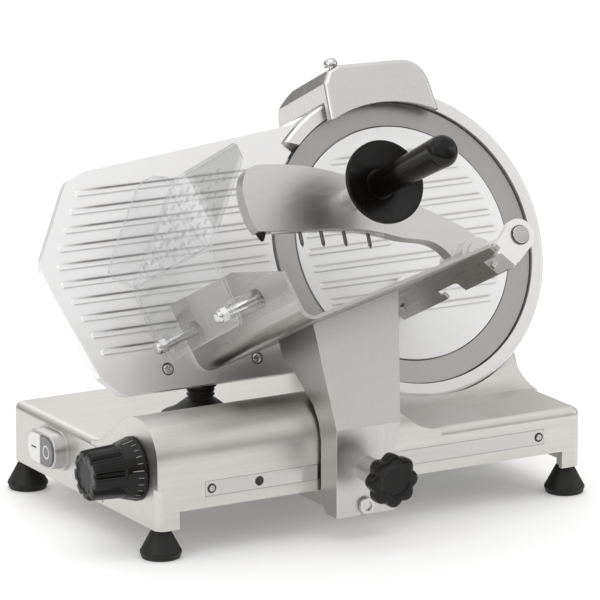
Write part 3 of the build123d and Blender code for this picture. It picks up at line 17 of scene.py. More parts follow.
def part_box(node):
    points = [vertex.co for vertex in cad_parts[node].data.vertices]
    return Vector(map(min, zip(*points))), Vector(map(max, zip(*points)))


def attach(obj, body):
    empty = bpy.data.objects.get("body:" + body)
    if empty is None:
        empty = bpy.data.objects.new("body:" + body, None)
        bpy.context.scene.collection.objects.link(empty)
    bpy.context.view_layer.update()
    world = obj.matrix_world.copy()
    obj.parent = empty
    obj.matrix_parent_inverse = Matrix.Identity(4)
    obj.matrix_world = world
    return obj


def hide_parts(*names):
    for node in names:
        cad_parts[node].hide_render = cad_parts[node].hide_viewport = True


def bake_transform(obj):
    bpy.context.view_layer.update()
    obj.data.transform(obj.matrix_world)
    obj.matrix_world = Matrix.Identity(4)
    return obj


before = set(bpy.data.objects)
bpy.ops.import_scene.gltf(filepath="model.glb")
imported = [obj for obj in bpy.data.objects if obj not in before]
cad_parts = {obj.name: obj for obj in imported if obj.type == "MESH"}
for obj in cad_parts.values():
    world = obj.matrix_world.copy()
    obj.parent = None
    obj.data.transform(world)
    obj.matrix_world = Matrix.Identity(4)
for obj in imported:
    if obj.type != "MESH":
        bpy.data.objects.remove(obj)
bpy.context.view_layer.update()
random.seed(7)  # nothing below draws at random; the seed is fixed for the whole run

# ---------------------------------------------------------------- places and directions
FOOT_X, FOOT_Y = -0.20015, -0.09051     # centre of the front left foot, in metres
TILT = math.radians(25.3)               # lean of the knife plane from upright
RIGHT = Vector((1, 0, 0))
UP = Vector((0, 0, 1))
FRONT = Vector((0, -1, 0))
LEFT = Vector((-1, 0, 0))
KNIFE_NORMAL = Vector((0, -math.cos(TILT), math.sin(TILT)))     # towards the operator
KNIFE_UP = Vector((0, math.sin(TILT), math.cos(TILT)))          # up the knife plane

# Places in mm, from the front left foot
DIAL = (0, 28, 70)
ARM_KNOB = (171, 0, 62)
ARM_SCREW = (171, 0, 30.2)
POST_X, POST_Y = 106, 124
FEET_DX, FEET_DY = 394, 241
STRIP_SCREWS_X = (41, 359)
OIL_HOLE_X = 86
STRIP_Z = 56
PLUG_Y, PLUG_Z = 276, 15

# (x, up) in mm on the knife plane, from the knife centre
PLATE_SCREWS = ((-250.8, -80.8), (-165, -82))
COVER_SCREWS = ((-44, 10), (66, 10), (0, 76))
PUSHER_ROD = (-10, -43)


def foot_point(x, y, z):
    """Point from front left foot coordinates in mm."""
    return Vector((FOOT_X + x / 1000, FOOT_Y + y / 1000, z / 1000))


KNIFE = foot_point(317.3, 142.4, 200)


def knife_point(x, forward, up):
    """Point from knife coordinates in mm: right, along the normal, up the plane."""
    return KNIFE + RIGHT * (x / 1000) + KNIFE_NORMAL * (forward / 1000) + KNIFE_UP * (up / 1000)


def in_plane(direction):
    """World direction of a 2D direction in the knife plane."""
    return RIGHT * direction.x + KNIFE_UP * direction.y


def basis(axis, origin, ref=None):
    """Matrix at origin with local Z on axis and local X as near ref as it can be."""
    z = Vector(axis).normalized()
    if ref is None:
        ref = RIGHT if abs(z.x) < 0.9 else UP
    x = (ref - z * ref.dot(z)).normalized()
    matrix = Matrix((x, z.cross(x), z)).transposed().to_4x4()
    matrix.translation = Vector(origin)
    return matrix


# ---------------------------------------------------------------- shader building
class Shader:
    """Node tree of a material or world, emptied down to its output node."""

    def __init__(self, owner, output):
        owner.use_nodes = True
        self.owner = owner
        self.tree = owner.node_tree
        self.tree.nodes.clear()
        self.output = self.node(output)

    def fill(self, node, inputs):
        """Link or set each input; colours are given without alpha."""
        for key, value in inputs.items():
            socket = node.inputs[key]
            if isinstance(value, bpy.types.NodeSocket):
                self.tree.links.new(value, socket)
            elif socket.type == "RGBA":
                socket.default_value = (*value, 1)
            else:
                socket.default_value = value

    def node(self, kind, inputs=None, **settings):
        node = self.tree.nodes.new("ShaderNode" + kind)
        for key, value in settings.items():
            setattr(node, key, value)
        self.fill(node, inputs or {})
        return node

    def position(self):
        return self.node("TexCoord").outputs["Object"]

    def scaled(self, vector, scale, turn=(0, 0, 0)):
        """Turn a vector if asked, then scale it."""
        if any(turn):
            vector = self.node("Mapping", {"Rotation": turn, "Vector": vector}).outputs[0]
        return self.node("Mapping", {"Scale": scale, "Vector": vector}).outputs[0]

    def noise(self, vector, scale=1.0, detail=3.0, roughness=0.5, distortion=0.0):
        return self.node("TexNoise", {
            "Scale": scale, "Detail": detail, "Roughness": roughness,
            "Distortion": distortion, "Vector": vector}).outputs["Fac"]

    def remap(self, value, to=(0, 1), span=(0.3, 0.7)):
        """Map span onto the two ends of to, clamped."""
        return self.node("MapRange", {
            "From Min": span[0], "From Max": span[1],
            "To Min": to[0], "To Max": to[1], "Value": value}).outputs[0]

    def calc(self, operation, *values):
        return self.node("Math", dict(enumerate(values)), operation=operation).outputs[0]

    def product(self, *factors):
        return reduce(lambda a, b: self.calc("MULTIPLY", a, b), factors)

    def vector(self, operation, first, second=None):
        inputs = {0: first}
        if second is not None:
            inputs["Scale" if operation == "SCALE" else 1] = second
        node = self.node("VectorMath", inputs, operation=operation)
        return node.outputs["Value" if operation in ("DOT_PRODUCT", "LENGTH") else "Vector"]

    def mix(self, factor, first, second):
        inputs = {0: factor, 6: first, 7: second}
        return self.node("Mix", inputs, data_type="RGBA").outputs[2]

    def mix_shader(self, factor, first, second):
        return self.node("MixShader", {0: factor, 1: first, 2: second}).outputs[0]

    def rounded_normal(self, radius):
        return self.node("Bevel", {"Radius": radius}, samples=4).outputs[0]

    def bump(self, height, strength, distance, bevel=0.0):
        """Normal of the surface from a height, over edges rounded by bevel metres."""
        inputs = {"Strength": strength, "Distance": distance, "Height": height}
        if bevel:
            inputs["Normal"] = self.rounded_normal(bevel)
        self.fill(self.surface, {"Normal": self.node("Bump", inputs).outputs[0]})

    def edge_mask(self, radius):
        """About 1 on convex and concave edges, 0 on open faces."""
        rounded = self.rounded_normal(radius)
        normal = self.node("NewGeometry").outputs["Normal"]
        agreement = self.vector("DOT_PRODUCT", rounded, normal)
        return self.remap(agreement, to=(1.0, 0.0), span=(0.86, 0.995))

    def knife_radius(self):
        """Distance from the knife axis in metres."""
        offset = self.vector("SUBTRACT", self.position(), KNIFE)
        across = self.vector("CROSS_PRODUCT", offset, KNIFE_NORMAL.normalized())
        return self.vector("LENGTH", across)


def new_material(name):
    shader = Shader(bpy.data.materials.new(name), "OutputMaterial")
    shader.surface = shader.node("BsdfPrincipled")
    shader.fill(shader.output, {0: shader.surface.outputs[0]})
    return shader


def shade(colour, gain, lift=0.0):
    return tuple(min(1, v * gain + lift) for v in colour)


# ---------------------------------------------------------------- kinds of material
def metal(name, colour, *, rough, streak, bump, mottle, brush=None, turn=(0, 0, 0),
          edge=0.0, smudge=0.025, metallic=1.0):
    """Brushed metal. brush is the grain frequency on each axis after turn; without it the
    grain runs in rings round the knife axis. streak, mottle, edge and smudge are the
    strengths of the grain tint, cloudy tint, worn edges and roughness smears."""
    shader = new_material(name)
    noise, remap, mix = shader.noise, shader.remap, shader.mix
    position = shader.position()
    if brush is None:
        rings_per_metre = 1700.0
        radius = shader.product(shader.knife_radius(), rings_per_metre)
        rings = shader.node("CombineXYZ", {0: radius}).outputs[0]
        grain = noise(rings, detail=4, roughness=0.75)
        broad = noise(shader.scaled(rings, (0.06, 1, 1)), detail=2)
    else:
        grain = noise(shader.scaled(position, brush, turn), detail=4, roughness=0.7)
        wide_brush = tuple(v * 0.12 for v in brush)
        broad = noise(shader.scaled(position, wide_brush, turn), detail=2)
    cloud = noise(position, scale=9.0, detail=5, roughness=0.6, distortion=0.6)
    smear = noise(position, scale=38.0, detail=4, roughness=0.65, distortion=1.2)

    tone = mix(remap(cloud), shade(colour, 1 - mottle * 1.6), shade(colour, 1 + mottle))
    tone = mix(remap(grain, to=(0, streak * 2.2)), tone, shade(colour, 0.62))
    tone = mix(remap(broad, to=(0, streak * 1.2)), tone, shade(colour, 1.12))
    if edge:
        worn = shader.product(shader.edge_mask(0.0012), edge)
        tone = mix(worn, tone, shade(colour, 1.22))

    roughness = shader.calc("ADD", remap(grain, to=(rough - 0.05, rough + 0.07)),
                            remap(smear, to=(-smudge, smudge)))
    roughness = shader.calc("ADD", roughness, remap(cloud, to=(-0.03, 0.03)))
    shader.fill(shader.surface, {
        "Base Color": tone, "Metallic": metallic, "Roughness": roughness})
    shader.bump(grain, strength=bump, distance=0.0004, bevel=0.0006)
    return shader


def plastic(name, colour, *, rough, coat, fine=1400.0, bump=0.05, mottle=0.25, edge=0.35,
            spec=0.5):
    """Moulded or painted surface with a fine texture, cloudy tone and specks of dust."""
    shader = new_material(name)
    noise, remap, mix = shader.noise, shader.remap, shader.mix
    position = shader.position()
    texture = noise(position, scale=fine, detail=3, roughness=0.6)
    cloud = noise(position, scale=24.0, detail=5, roughness=0.6, distortion=0.8)
    dust = noise(position, scale=240.0, detail=6, roughness=0.75)

    tone = mix(remap(cloud), shade(colour, 1 - mottle), shade(colour, 1 + mottle))
    specks = remap(dust, to=(0, 0.12), span=(0.58, 0.75))
    tone = mix(specks, tone, shade(colour, 2.2, lift=0.03))
    if edge:
        worn = shader.product(shader.edge_mask(0.0009), edge)
        tone = mix(worn, tone, shade(colour, 2.0, lift=0.02))

    roughness = shader.calc("ADD", remap(cloud, to=(rough - 0.05, rough + 0.08)),
                            remap(dust, to=(-0.02, 0.06)))
    shader.fill(shader.surface, {
        "Base Color": tone, "Roughness": roughness, "Coat Weight": coat,
        "Coat Roughness": 0.12, "Specular IOR Level": spec})
    shader.bump(texture, strength=bump, distance=0.0003, bevel=0.0005)
    return shader


def clear_sheet(name, tint, *, edge_radius, edge_gain):
    """Clear moulded sheet: thin-walled, a glossy skin and edges that gather light."""
    shader = new_material(name)
    noise, remap, mix = shader.noise, shader.remap, shader.mix
    position = shader.position()
    scratch_space = shader.scaled(position, (260, 40, 260), turn=(0.4, 0.2, 0.3))
    scratches = noise(scratch_space, detail=5, roughness=0.75)
    cloud = noise(position, scale=30.0, detail=4, roughness=0.6, distortion=0.7)
    scratch_span = (0.35, 0.85)

    body = shader.node("BsdfTransparent", {0: mix(remap(cloud), shade(tint, 0.97), tint)})
    shader.fill(shader.surface, {
        "Base Color": mix(remap(cloud), (0.52, 0.53, 0.535), (0.62, 0.63, 0.635)),
        "Roughness": shader.calc("ADD", remap(scratches, to=(0.03, 0.12), span=scratch_span),
                                 remap(cloud, to=(0, 0.03)))})
    shader.bump(scratches, strength=0.03, distance=0.0002)
    gloss = shader.node("BsdfGlossy", {
        "Color": (0.95, 0.96, 0.97),
        "Roughness": remap(scratches, to=(0.02, 0.09), span=scratch_span)})

    # The skin reflects a little everywhere and strongly at grazing angles
    facing = shader.node("LayerWeight", {"Blend": 0.5}).outputs["Facing"]
    grazing = shader.product(shader.calc("POWER", facing, 4.0), 0.7)
    skin = shader.mix_shader(shader.calc("ADD", grazing, 0.045),
                             body.outputs[0], gloss.outputs[0])
    edges = shader.product(shader.edge_mask(edge_radius), edge_gain)
    shader.fill(shader.output, {0: shader.mix_shader(edges, skin, shader.surface.outputs[0])})
    return shader


# ---------------------------------------------------------------- ribbed plate and cover, with painted rib shade
RIB_PITCH = 15.2    # mm up the knife plane
RIB_TOP = 87.6      # height of the highest pitch line above the knife centre


def rib_shade_lines(shader, up):
    """Mask of painted shade: 1 on the line half way between pitch lines, with a faint wider
    painted shade round it.
    """
    remap = shader.remap
    pitches = shader.product(shader.calc("SUBTRACT", RIB_TOP, up), 1 / RIB_PITCH)
    phase = shader.calc("FRACT", pitches)
    off_centre = shader.calc("ABSOLUTE", shader.calc("SUBTRACT", phase, 0.5))
    distance = shader.product(off_centre, RIB_PITCH)
    core = remap(distance, to=(1.0, 0.0), span=(0.45, 1.75))
    halo = shader.product(remap(distance, to=(1.0, 0.0), span=(0.5, 5.0)), 0.12)
    rows = shader.product(remap(up, to=(1.0, 0.0), span=(82.0, 83.5)),
                          remap(up, to=(0.0, 1.0), span=(-60.0, -58.5)))
    return shader.product(shader.calc("MAXIMUM", core, halo), rows)


def plate_extent(shader, x, up, radius):
    """Fade the painted rib shade in from the slanted left edges and stop it round the knife."""
    calc, remap = shader.calc, shader.remap
    left = calc("MAXIMUM", calc("SUBTRACT", shader.product(up, 0.5913), 347.7),
                calc("SUBTRACT", shader.product(up, -0.3714), 331.7))
    left = calc("MAXIMUM", left, -333.0)
    return shader.product(remap(calc("SUBTRACT", x, left), span=(0.0, 26.0)),
                          remap(radius, span=(130.0, 140.0)),
                          remap(x, to=(1.0, 0.55), span=(-240.0, -130.0)))


def cover_extent(shader, x, up, radius):
    """Keep the painted rib shade inside the disc and off a patch near its middle."""
    calc, remap = shader.calc, shader.remap
    disc = remap(radius, to=(1.0, 0.0), span=(91.0, 95.0))
    patch = shader.product(
        remap(calc("ABSOLUTE", x), to=(1.0, 0.0), span=(10.0, 14.0)),
        remap(calc("ABSOLUTE", calc("SUBTRACT", up, 4.0)), to=(1.0, 0.0), span=(4.0, 5.0)))
    return shader.product(disc, calc("SUBTRACT", 1.0, patch))


def soften_lower_flanks(shader, normal):
    """Bend the normal upwards on the lower flank of a rib, so it runs into the plate."""
    facing = shader.vector("DOT_PRODUCT", normal, KNIFE_NORMAL)
    down = shader.vector("DOT_PRODUCT", normal, -KNIFE_UP)
    bend = shader.product(shader.calc("MAXIMUM", down, 0.0),
                          shader.remap(facing, to=(0.0, 0.9), span=(0.2, 0.35)))
    bent = shader.vector("ADD", normal, shader.vector("SCALE", KNIFE_UP, bend))
    shader.fill(shader.surface, {"Normal": shader.vector("NORMALIZE", bent)})


def paint_rib_shade(shader, extent, dark, amount):
    """Paint a dark line along the upper flank of each rib of the plate or of the cover: painted
    shade and painted dark reflection.
    """
    calc, remap = shader.calc, shader.remap
    offset = shader.vector("SUBTRACT", shader.position(), KNIFE)
    up = shader.vector("DOT_PRODUCT", offset, KNIFE_UP * 1000)
    x = shader.product(shader.node("SeparateXYZ", {0: offset}).outputs[0], 1000.0)
    radius = calc("SQRT", calc("ADD", shader.product(x, x), shader.product(up, up)))
    lines = rib_shade_lines(shader, up)
    limit = extent(shader, x, up, radius)
    true_normal = shader.node("NewGeometry").outputs["Normal"]
    face = remap(shader.vector("DOT_PRODUCT", true_normal, KNIFE_NORMAL), span=(0.1, 0.3))
    factor = shader.product(lines, limit, amount, face)

    colour, normal = (shader.surface.inputs[key].links[0].from_socket
                      for key in ("Base Color", "Normal"))
    if extent is plate_extent:      # the plate darkens towards its lower edge
        # painted shade: a baked dark reflection towards the plate's lower edge
        low = shader.product(remap(up, to=(1.0, 0.0), span=(-98.0, -60.0)),
                             remap(x, span=(-325.0, -245.0)))
        colour = shader.mix(shader.product(low, face, 0.45), colour, (0.26, 0.245, 0.235))
    # painted shade and dark reflection along the upper flank of each rib
    shader.fill(shader.surface, {"Base Color": shader.mix(factor, colour, dark)})
    soften_lower_flanks(shader, normal)
    return shader


# ---------------------------------------------------------------- materials
BRIGHT = dict(rough=0.36, brush=(900, 60, 60), streak=0.015, bump=0.012, mottle=0.012,
              edge=0.1, smudge=0.02, metallic=0.42)
RUBBER = dict(coat=0.05, fine=2600.0, bump=0.12, mottle=0.3, edge=0.4, spec=0.35)
LEANING = (TILT, 0, 0)      # grain turned with the knife plane

MATERIAL = {
    "cast": metal("cast_aluminium", (0.66, 0.645, 0.62), rough=0.36, brush=(5, 700, 700),
                  streak=0.10, bump=0.06, mottle=0.04, edge=0.35),
    "ring": metal("guard_ring", (0.80, 0.795, 0.79), rough=0.33, streak=0.03, bump=0.02,
                  mottle=0.02, edge=0.25, smudge=0.02, metallic=0.8),
    # plate and cover: dark lines of painted shade along their ribs
    "bright": paint_rib_shade(metal("bright_plate", (0.93, 0.93, 0.93), **BRIGHT),
                     plate_extent, dark=(0.10, 0.092, 0.088), amount=0.88),
    "cover": paint_rib_shade(metal("cover_disc", (0.88, 0.885, 0.885), **BRIGHT),
                    cover_extent, dark=(0.40, 0.39, 0.38), amount=0.7),
    "knife": metal("knife_steel", (0.44, 0.425, 0.413), rough=0.36, streak=0.09, bump=0.04,
                   mottle=0.04, smudge=0.03),
    "stainless": metal("tray_stainless", (0.52, 0.505, 0.49), rough=0.30,
                       brush=(700, 7, 700), turn=LEANING, streak=0.07, bump=0.02,
                       mottle=0.02, edge=0.4, smudge=0.015),
    "arm": metal("arm_brushed", (0.60, 0.59, 0.575), rough=0.33, brush=(700, 700, 6),
                 streak=0.06, bump=0.02, mottle=0.02, edge=0.4, smudge=0.015),
    "rod": metal("ground_rod", (0.80, 0.80, 0.79), rough=0.12, brush=(900, 60, 60),
                 streak=0.05, bump=0.02, mottle=0.03, smudge=0.03),
    "chrome": metal("polished_chrome", (0.62, 0.62, 0.62), rough=0.12, brush=(60, 60, 60),
                    streak=0.02, bump=0.01, mottle=0.03, smudge=0.02),
    "screw": metal("stainless_screw", (0.66, 0.655, 0.64), rough=0.25,
                   brush=(500, 500, 500), streak=0.08, bump=0.05, mottle=0.06, edge=0.4),
    "zinc": metal("zinc_sheet", (0.58, 0.585, 0.57), rough=0.38, brush=(60, 60, 60),
                  streak=0.12, bump=0.05, mottle=0.14),
    "bronze": metal("sintered_bronze", (0.55, 0.38, 0.17), rough=0.42,
                    brush=(700, 700, 700), streak=0.2, bump=0.15, mottle=0.12),
    "pusher": metal("pusher_casting", (0.68, 0.675, 0.665), rough=0.33,
                    brush=(6, 700, 700), turn=(0, 0.12, 0), streak=0.04, bump=0.015,
                    mottle=0.02, edge=0.3, smudge=0.015),
    "hood": metal("hood_casting", (0.66, 0.655, 0.645), rough=0.27, brush=(7, 500, 500),
                  streak=0.02, bump=0.012, mottle=0.02, edge=0.35, smudge=0.015),
    "paint": plastic("motor_paint", (0.06, 0.065, 0.075), rough=0.4, coat=0.2, fine=700,
                     bump=0.15),
    "knob": plastic("gloss_black", (0.0042, 0.0036, 0.0032), rough=0.2, coat=0.12,
                    bump=0.02, spec=0.22),
    "grip": plastic("satin_black", (0.0045, 0.0038, 0.0034), rough=0.26, coat=0.06,
                    bump=0.03, spec=0.22),
    "rubber": plastic("black_rubber", (0.0095, 0.0088, 0.0082), rough=0.5, **RUBBER),
    "cord": plastic("cord_sheath", (0.02, 0.02, 0.021), rough=0.45, **RUBBER),
    "clear": clear_sheet("clear_sheet", (0.972, 0.974, 0.974),
                         edge_radius=0.0018, edge_gain=0.8),
    "clear_bump": clear_sheet("clear_moulded_bumps", (0.87, 0.872, 0.872),
                              edge_radius=0.0012, edge_gain=0.5),
    "strip": metal("slide_strip", (0.55, 0.545, 0.53), rough=0.2, brush=(6, 700, 700),
                   streak=0.04, bump=0.01, mottle=0.03, edge=0.3, smudge=0.02),
    "white_key": plastic("white_key", (0.78, 0.78, 0.765), rough=0.3, coat=0.2,
                         mottle=0.03, edge=0.0),
    "dark_key": plastic("dark_key", (0.16, 0.16, 0.165), rough=0.33, coat=0.2,
                        mottle=0.08, edge=0.2),
    "housing": metal("switch_brushed", (0.56, 0.55, 0.54), rough=0.32, brush=(900, 6, 900),
                     streak=0.05, bump=0.012, mottle=0.02, edge=0.3, smudge=0.015),
    "stone": plastic("bonded_abrasive", (0.42, 0.20, 0.16), rough=0.85, coat=0.0,
                     fine=1800, bump=0.8, mottle=0.3, edge=0.0),
    "index": metal("index_plate", (0.60, 0.595, 0.58), rough=0.34, brush=(700, 12, 700),
                   streak=0.08, bump=0.04, mottle=0.05),
    # ink of printed marks, also worn by painted shadow rings, gaps and holes
    "ink_and_painted_shade": plastic("print_ink_and_painted_shade", (0.03, 0.03, 0.032), rough=0.5, coat=0.0, mottle=0.2,
                   edge=0.0),
    "teeth": metal("dark_steel", (0.15, 0.142, 0.136), rough=0.28, brush=(900, 900, 20),
                   streak=0.06, bump=0.02, mottle=0.04, edge=0.3),
    "bracket": metal("bracket_steel", (0.90, 0.895, 0.885), rough=0.33,
                     brush=(700, 7, 700), turn=LEANING, streak=0.03, bump=0.012,
                     mottle=0.015, edge=0.2, smudge=0.012, metallic=0.7),
    "rod_end": metal("turned_rod_end", (0.56, 0.55, 0.54), rough=0.25, brush=(60, 60, 60),
                     streak=0.04, bump=0.01, mottle=0.03, edge=0.2),
    "mark": plastic("white_mark", (0.72, 0.72, 0.70), rough=0.45, coat=0.0, mottle=0.06,
                    edge=0.0),
    "dim_mark": plastic("worn_white_mark", (0.30, 0.295, 0.285), rough=0.5, coat=0.0,
                        mottle=0.15, edge=0.0),
}

# Material -> CAD pieces that wear it
CAD_PIECES = {
    "cast": "base_casting slide_block knife_pulley motor_pulley gauge_support",
    "rubber": "rubber_feet drive_belt boot_seal",
    "screw": "foot_screws cover_screws carriage_screws blade_screws gauge_screws",
    "zinc": "bottom_cover motor_bracket motor_rotor",
    "rod": "slide_rod guide_bar knife_bearings gauge_guide_rod pusher_rod guard_studs "
           "knife_shaft dial_shaft grinding_spindle deburring_spindle",
    "grip": "belt_cover capacitor cable_gland mains_plug hand_guard",
    "knob": "arm_knob handle_grip cover_knob dial_knob",
    "clear": "stud_sleeves finger_guard",
    "chrome": "cap_nuts sharpener_lock",
    "pusher": "pusher_bush pusher_arm",
    "stone": "grinding_stone deburring_stone",
    "strip": "slide_cover_strip", "ring": "knife_housing", "cover": "knife_cover",
    "paint": "motor_case", "index": "dial_plate", "housing": "switch_housing",
    "cord": "power_cord", "bronze": "slide_bushes", "arm": "carriage_arm",
    "stainless": "carriage_tray", "bracket": "rod_brackets", "teeth": "pusher_teeth",
    "knife": "knife_blade", "bright": "gauge_plate", "white_key": "start_button",
    "dark_key": "stop_button", "hood": "sharpener_hood",
}


def dress_cad():
    """Give each CAD piece its one material and smooth shading between real corners."""
    wears = {piece: key for key, pieces in CAD_PIECES.items() for piece in pieces.split()}
    for name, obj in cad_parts.items():
        obj.data.materials.clear()
        obj.data.materials.append(MATERIAL[wears[name]].owner)
        for polygon in obj.data.polygons:
            polygon.material_index = 0
        obj.data.shade_smooth()
        obj.data.set_sharp_from_angle(angle=math.radians(28))


# ---------------------------------------------------------------- mesh helpers, in mm
def new_object(name, data):
    obj = bpy.data.objects.new(name, data)
    bpy.context.scene.collection.objects.link(obj)
    return obj


def finish_mesh(name, bm, material, body=None, smooth=True, sharp=None, hide=()):
    """Object from bm; edges over sharp degrees stay crisp, hide lists replaced CAD."""
    bm.normal_update()
    mesh = bpy.data.meshes.new(name)
    bm.to_mesh(mesh)
    bm.free()
    obj = new_object(name, mesh)
    mesh.materials.append(MATERIAL[material].owner)
    if smooth:
        mesh.shade_smooth()
        if sharp is not None:
            mesh.set_sharp_from_angle(angle=math.radians(sharp))
    if body:
        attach(obj, body)
    if hide:
        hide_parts(*hide)
    return obj


def add_vert(bm, matrix, x, y, z):
    return bm.verts.new(matrix @ Vector((x / 1000, y / 1000, z / 1000)))


def bridge(bm, lower, upper):
    """Faces between two rings; either may be a single point."""
    count = max(len(lower), len(upper))
    for i in range(count):
        j = (i + 1) % count
        if len(lower) == 1:
            bm.faces.new((lower[0], upper[j], upper[i]))
        elif len(upper) == 1:
            bm.faces.new((lower[i], lower[j], upper[0]))
        else:
            bm.faces.new((lower[i], lower[j], upper[j], upper[i]))


def add_lathe(bm, profile, matrix, segments=96, radius_at=None):
    """Turn a profile of (radius, height) round local Z.

    radius_at(angle, radius, height) may change the radius round the turn.
    """
    rings = []
    for radius, height in profile:
        if radius == 0:
            rings.append([add_vert(bm, matrix, 0, 0, height)])
            continue
        ring = []
        for i in range(segments):
            angle = 2 * math.pi * i / segments
            r = radius_at(angle, radius, height) if radius_at else radius
            ring.append(add_vert(bm, matrix, r * math.cos(angle), r * math.sin(angle), height))
        rings.append(ring)
    for lower, upper in zip(rings, rings[1:]):
        bridge(bm, lower, upper)
    return rings


def add_prism(bm, outline, matrix, bottom, top, bevel):
    """Prism over an outline of (x, y) with the rims of both ends bevelled."""
    lower = [add_vert(bm, matrix, x, y, bottom) for x, y in outline]
    upper = [add_vert(bm, matrix, x, y, top) for x, y in outline]
    ends = [bm.faces.new(list(reversed(lower))), bm.faces.new(upper)]
    bridge(bm, lower, upper)
    edges = list({edge for face in ends for edge in face.edges})
    bmesh.ops.bevel(bm, geom=edges, offset=bevel / 1000, segments=3, profile=0.5,
                    affect="EDGES")


def rounded_rect(width, height, radius, steps=8):
    points = []
    for side_x, side_y, start in ((1, 1, 0), (-1, 1, 90), (-1, -1, 180), (1, -1, 270)):
        for i in range(steps + 1):
            angle = math.radians(start + 90 * i / steps)
            points.append((side_x * (width / 2 - radius) + radius * math.cos(angle),
                           side_y * (height / 2 - radius) + radius * math.sin(angle)))
    return points


def smoothstep(x):
    x = max(0.0, min(1.0, x))
    return x * x * (3 - 2 * x)


def add_rod(bm, matrix, radius, bottom, top, segments, chamfer):
    add_lathe(bm, [(0, bottom), (radius - chamfer, bottom), (radius, bottom + chamfer),
                   (radius, top - chamfer), (radius - chamfer, top), (0, top)],
              matrix, segments)


def add_screw_head(bm, matrix, radius, rise, segments=96, rings=22):
    """Domed head standing on local Z = 0, with a cross recess cut into the dome."""
    def within(v, half, blend):
        return 1 - smoothstep((abs(v) - half * radius) / (blend * radius))

    def surface(x, y):
        dome = rise * (1 - 0.55 * (math.hypot(x, y) / radius) ** 2.6)
        recess = max(within(x, 0.16, 0.07) * within(y, 0.58, 0.10),
                     within(y, 0.16, 0.07) * within(x, 0.58, 0.10))
        return dome - 0.55 * rise * recess

    directions = [(math.cos(2 * math.pi * k / segments), math.sin(2 * math.pi * k / segments))
                  for k in range(segments)]
    inner = [add_vert(bm, matrix, 0, 0, surface(0, 0))]
    for i in range(1, rings + 1):
        r = radius * (i / rings)
        outer = [add_vert(bm, matrix, r * c, r * s, surface(r * c, r * s))
                 for c, s in directions]
        for k in range(segments):
            j = (k + 1) % segments
            if len(inner) == 1:
                bm.faces.new((inner[0], outer[k], outer[j]))
            else:
                bm.faces.new((inner[k], outer[k], outer[j], inner[j]))
        inner = outer
    foot = [add_vert(bm, matrix, radius * c, radius * s, 0) for c, s in directions]
    for k in range(segments):
        j = (k + 1) % segments
        bm.faces.new((inner[k], foot[k], foot[j], inner[j]))
    bm.faces.new(list(reversed(foot)))


def add_screw(bm, matrix, head, shank):
    """Cross-head screw: head is (radius, rise), shank is (radius, length)."""
    add_screw_head(bm, matrix, *head)
    add_rod(bm, matrix, shank[0], -shank[1], 0.2, segments=24, chamfer=0.2)


# ---------------------------------------------------------------- thickness dial
DIAL_FLUTES = 9
GRIP_START = 25.6           # height where the fluted grip begins
RING_FOOT = (26.4, 13.0)    # (radius, height) at the foot of the tapered scale ring
RING_TOP = (23.6, 23.2)


def flute_radius(angle, radius, height):
    if height < GRIP_START or radius < 13:
        return radius
    fade_in = smoothstep((height - 25.8) / 3.4)
    flute = smoothstep((0.70 - abs(math.sin(DIAL_FLUTES / 2 * angle))) / 0.52)
    return radius - 3.0 * fade_in * flute * min(1, (radius - 12) / 6)


def build_dial_grip():
    # (radius, height): scale ring, slightly tapered grip, rim and shallow end recess
    profile = [(0, 10.0), (26.2, 10.0), (26.9, 10.7), (26.9, 12.0), RING_FOOT, RING_TOP,
               (23.0, 24.2), (22.7, 25.0), (22.6, GRIP_START)]
    profile += [(22.55 - 0.052 * (height - GRIP_START), height)
                for height in (26.4, 27.2, 28.0, 28.8, 30, 33, 37, 41, 45, 49, 52)]
    profile += [(21.0, 53.2), (20.6, 54.0), (19.8, 54.7), (18.6, 55.0), (15.4, 55.0),
                (14.8, 54.9), (14.3, 54.4), (13.8, 54.2), (8.0, 54.2), (0, 54.2)]
    bm = bmesh.new()
    add_lathe(bm, profile, basis(LEFT, foot_point(*DIAL)), 288, flute_radius)
    finish_mesh("dial_grip_fluted", bm, "knob", "dial", sharp=48,
                hide=("dial_knob",))


def build_dial_marks():
    """26 thin boxes on the taper of the scale ring, every fifth one long and wide."""
    matrix = basis(LEFT, foot_point(*DIAL))
    slope = (RING_TOP[0] - RING_FOOT[0]) / (RING_TOP[1] - RING_FOOT[1])
    box_faces = ((0, 1, 3, 2), (4, 6, 7, 5), (0, 4, 5, 1),
                 (2, 3, 7, 6), (0, 2, 6, 4), (1, 5, 7, 3))
    bm = bmesh.new()
    for k in range(26):
        middle = math.radians(12 + k * 336 / 25)
        end, half_width = (22.6, 0.42) if k % 5 == 0 else (18.0, 0.3)
        verts = []
        for height in (13.6, end):
            radius = RING_FOOT[0] + (height - RING_FOOT[1]) * slope
            for lift in (-0.05, 0.10):
                for side in (-half_width, half_width):
                    angle = middle + side / radius
                    verts.append(add_vert(bm, matrix, (radius + lift) * math.cos(angle),
                                          (radius + lift) * math.sin(angle), height))
        for face in box_faces:
            bm.faces.new([verts[i] for i in face])
    finish_mesh("dial_scale_marks", bm, "dim_mark", "dial", smooth=False)


# ---------------------------------------------------------------- carriage arm knob
def lobe_radius(angle, radius, height):
    if radius < 16:
        return radius
    lobe = 0.5 + 0.5 * math.cos(8 * angle)      # eight lobes
    return radius - 3.3 * (1 - lobe ** 0.55) * min(1, (radius - 14.5) / 5)


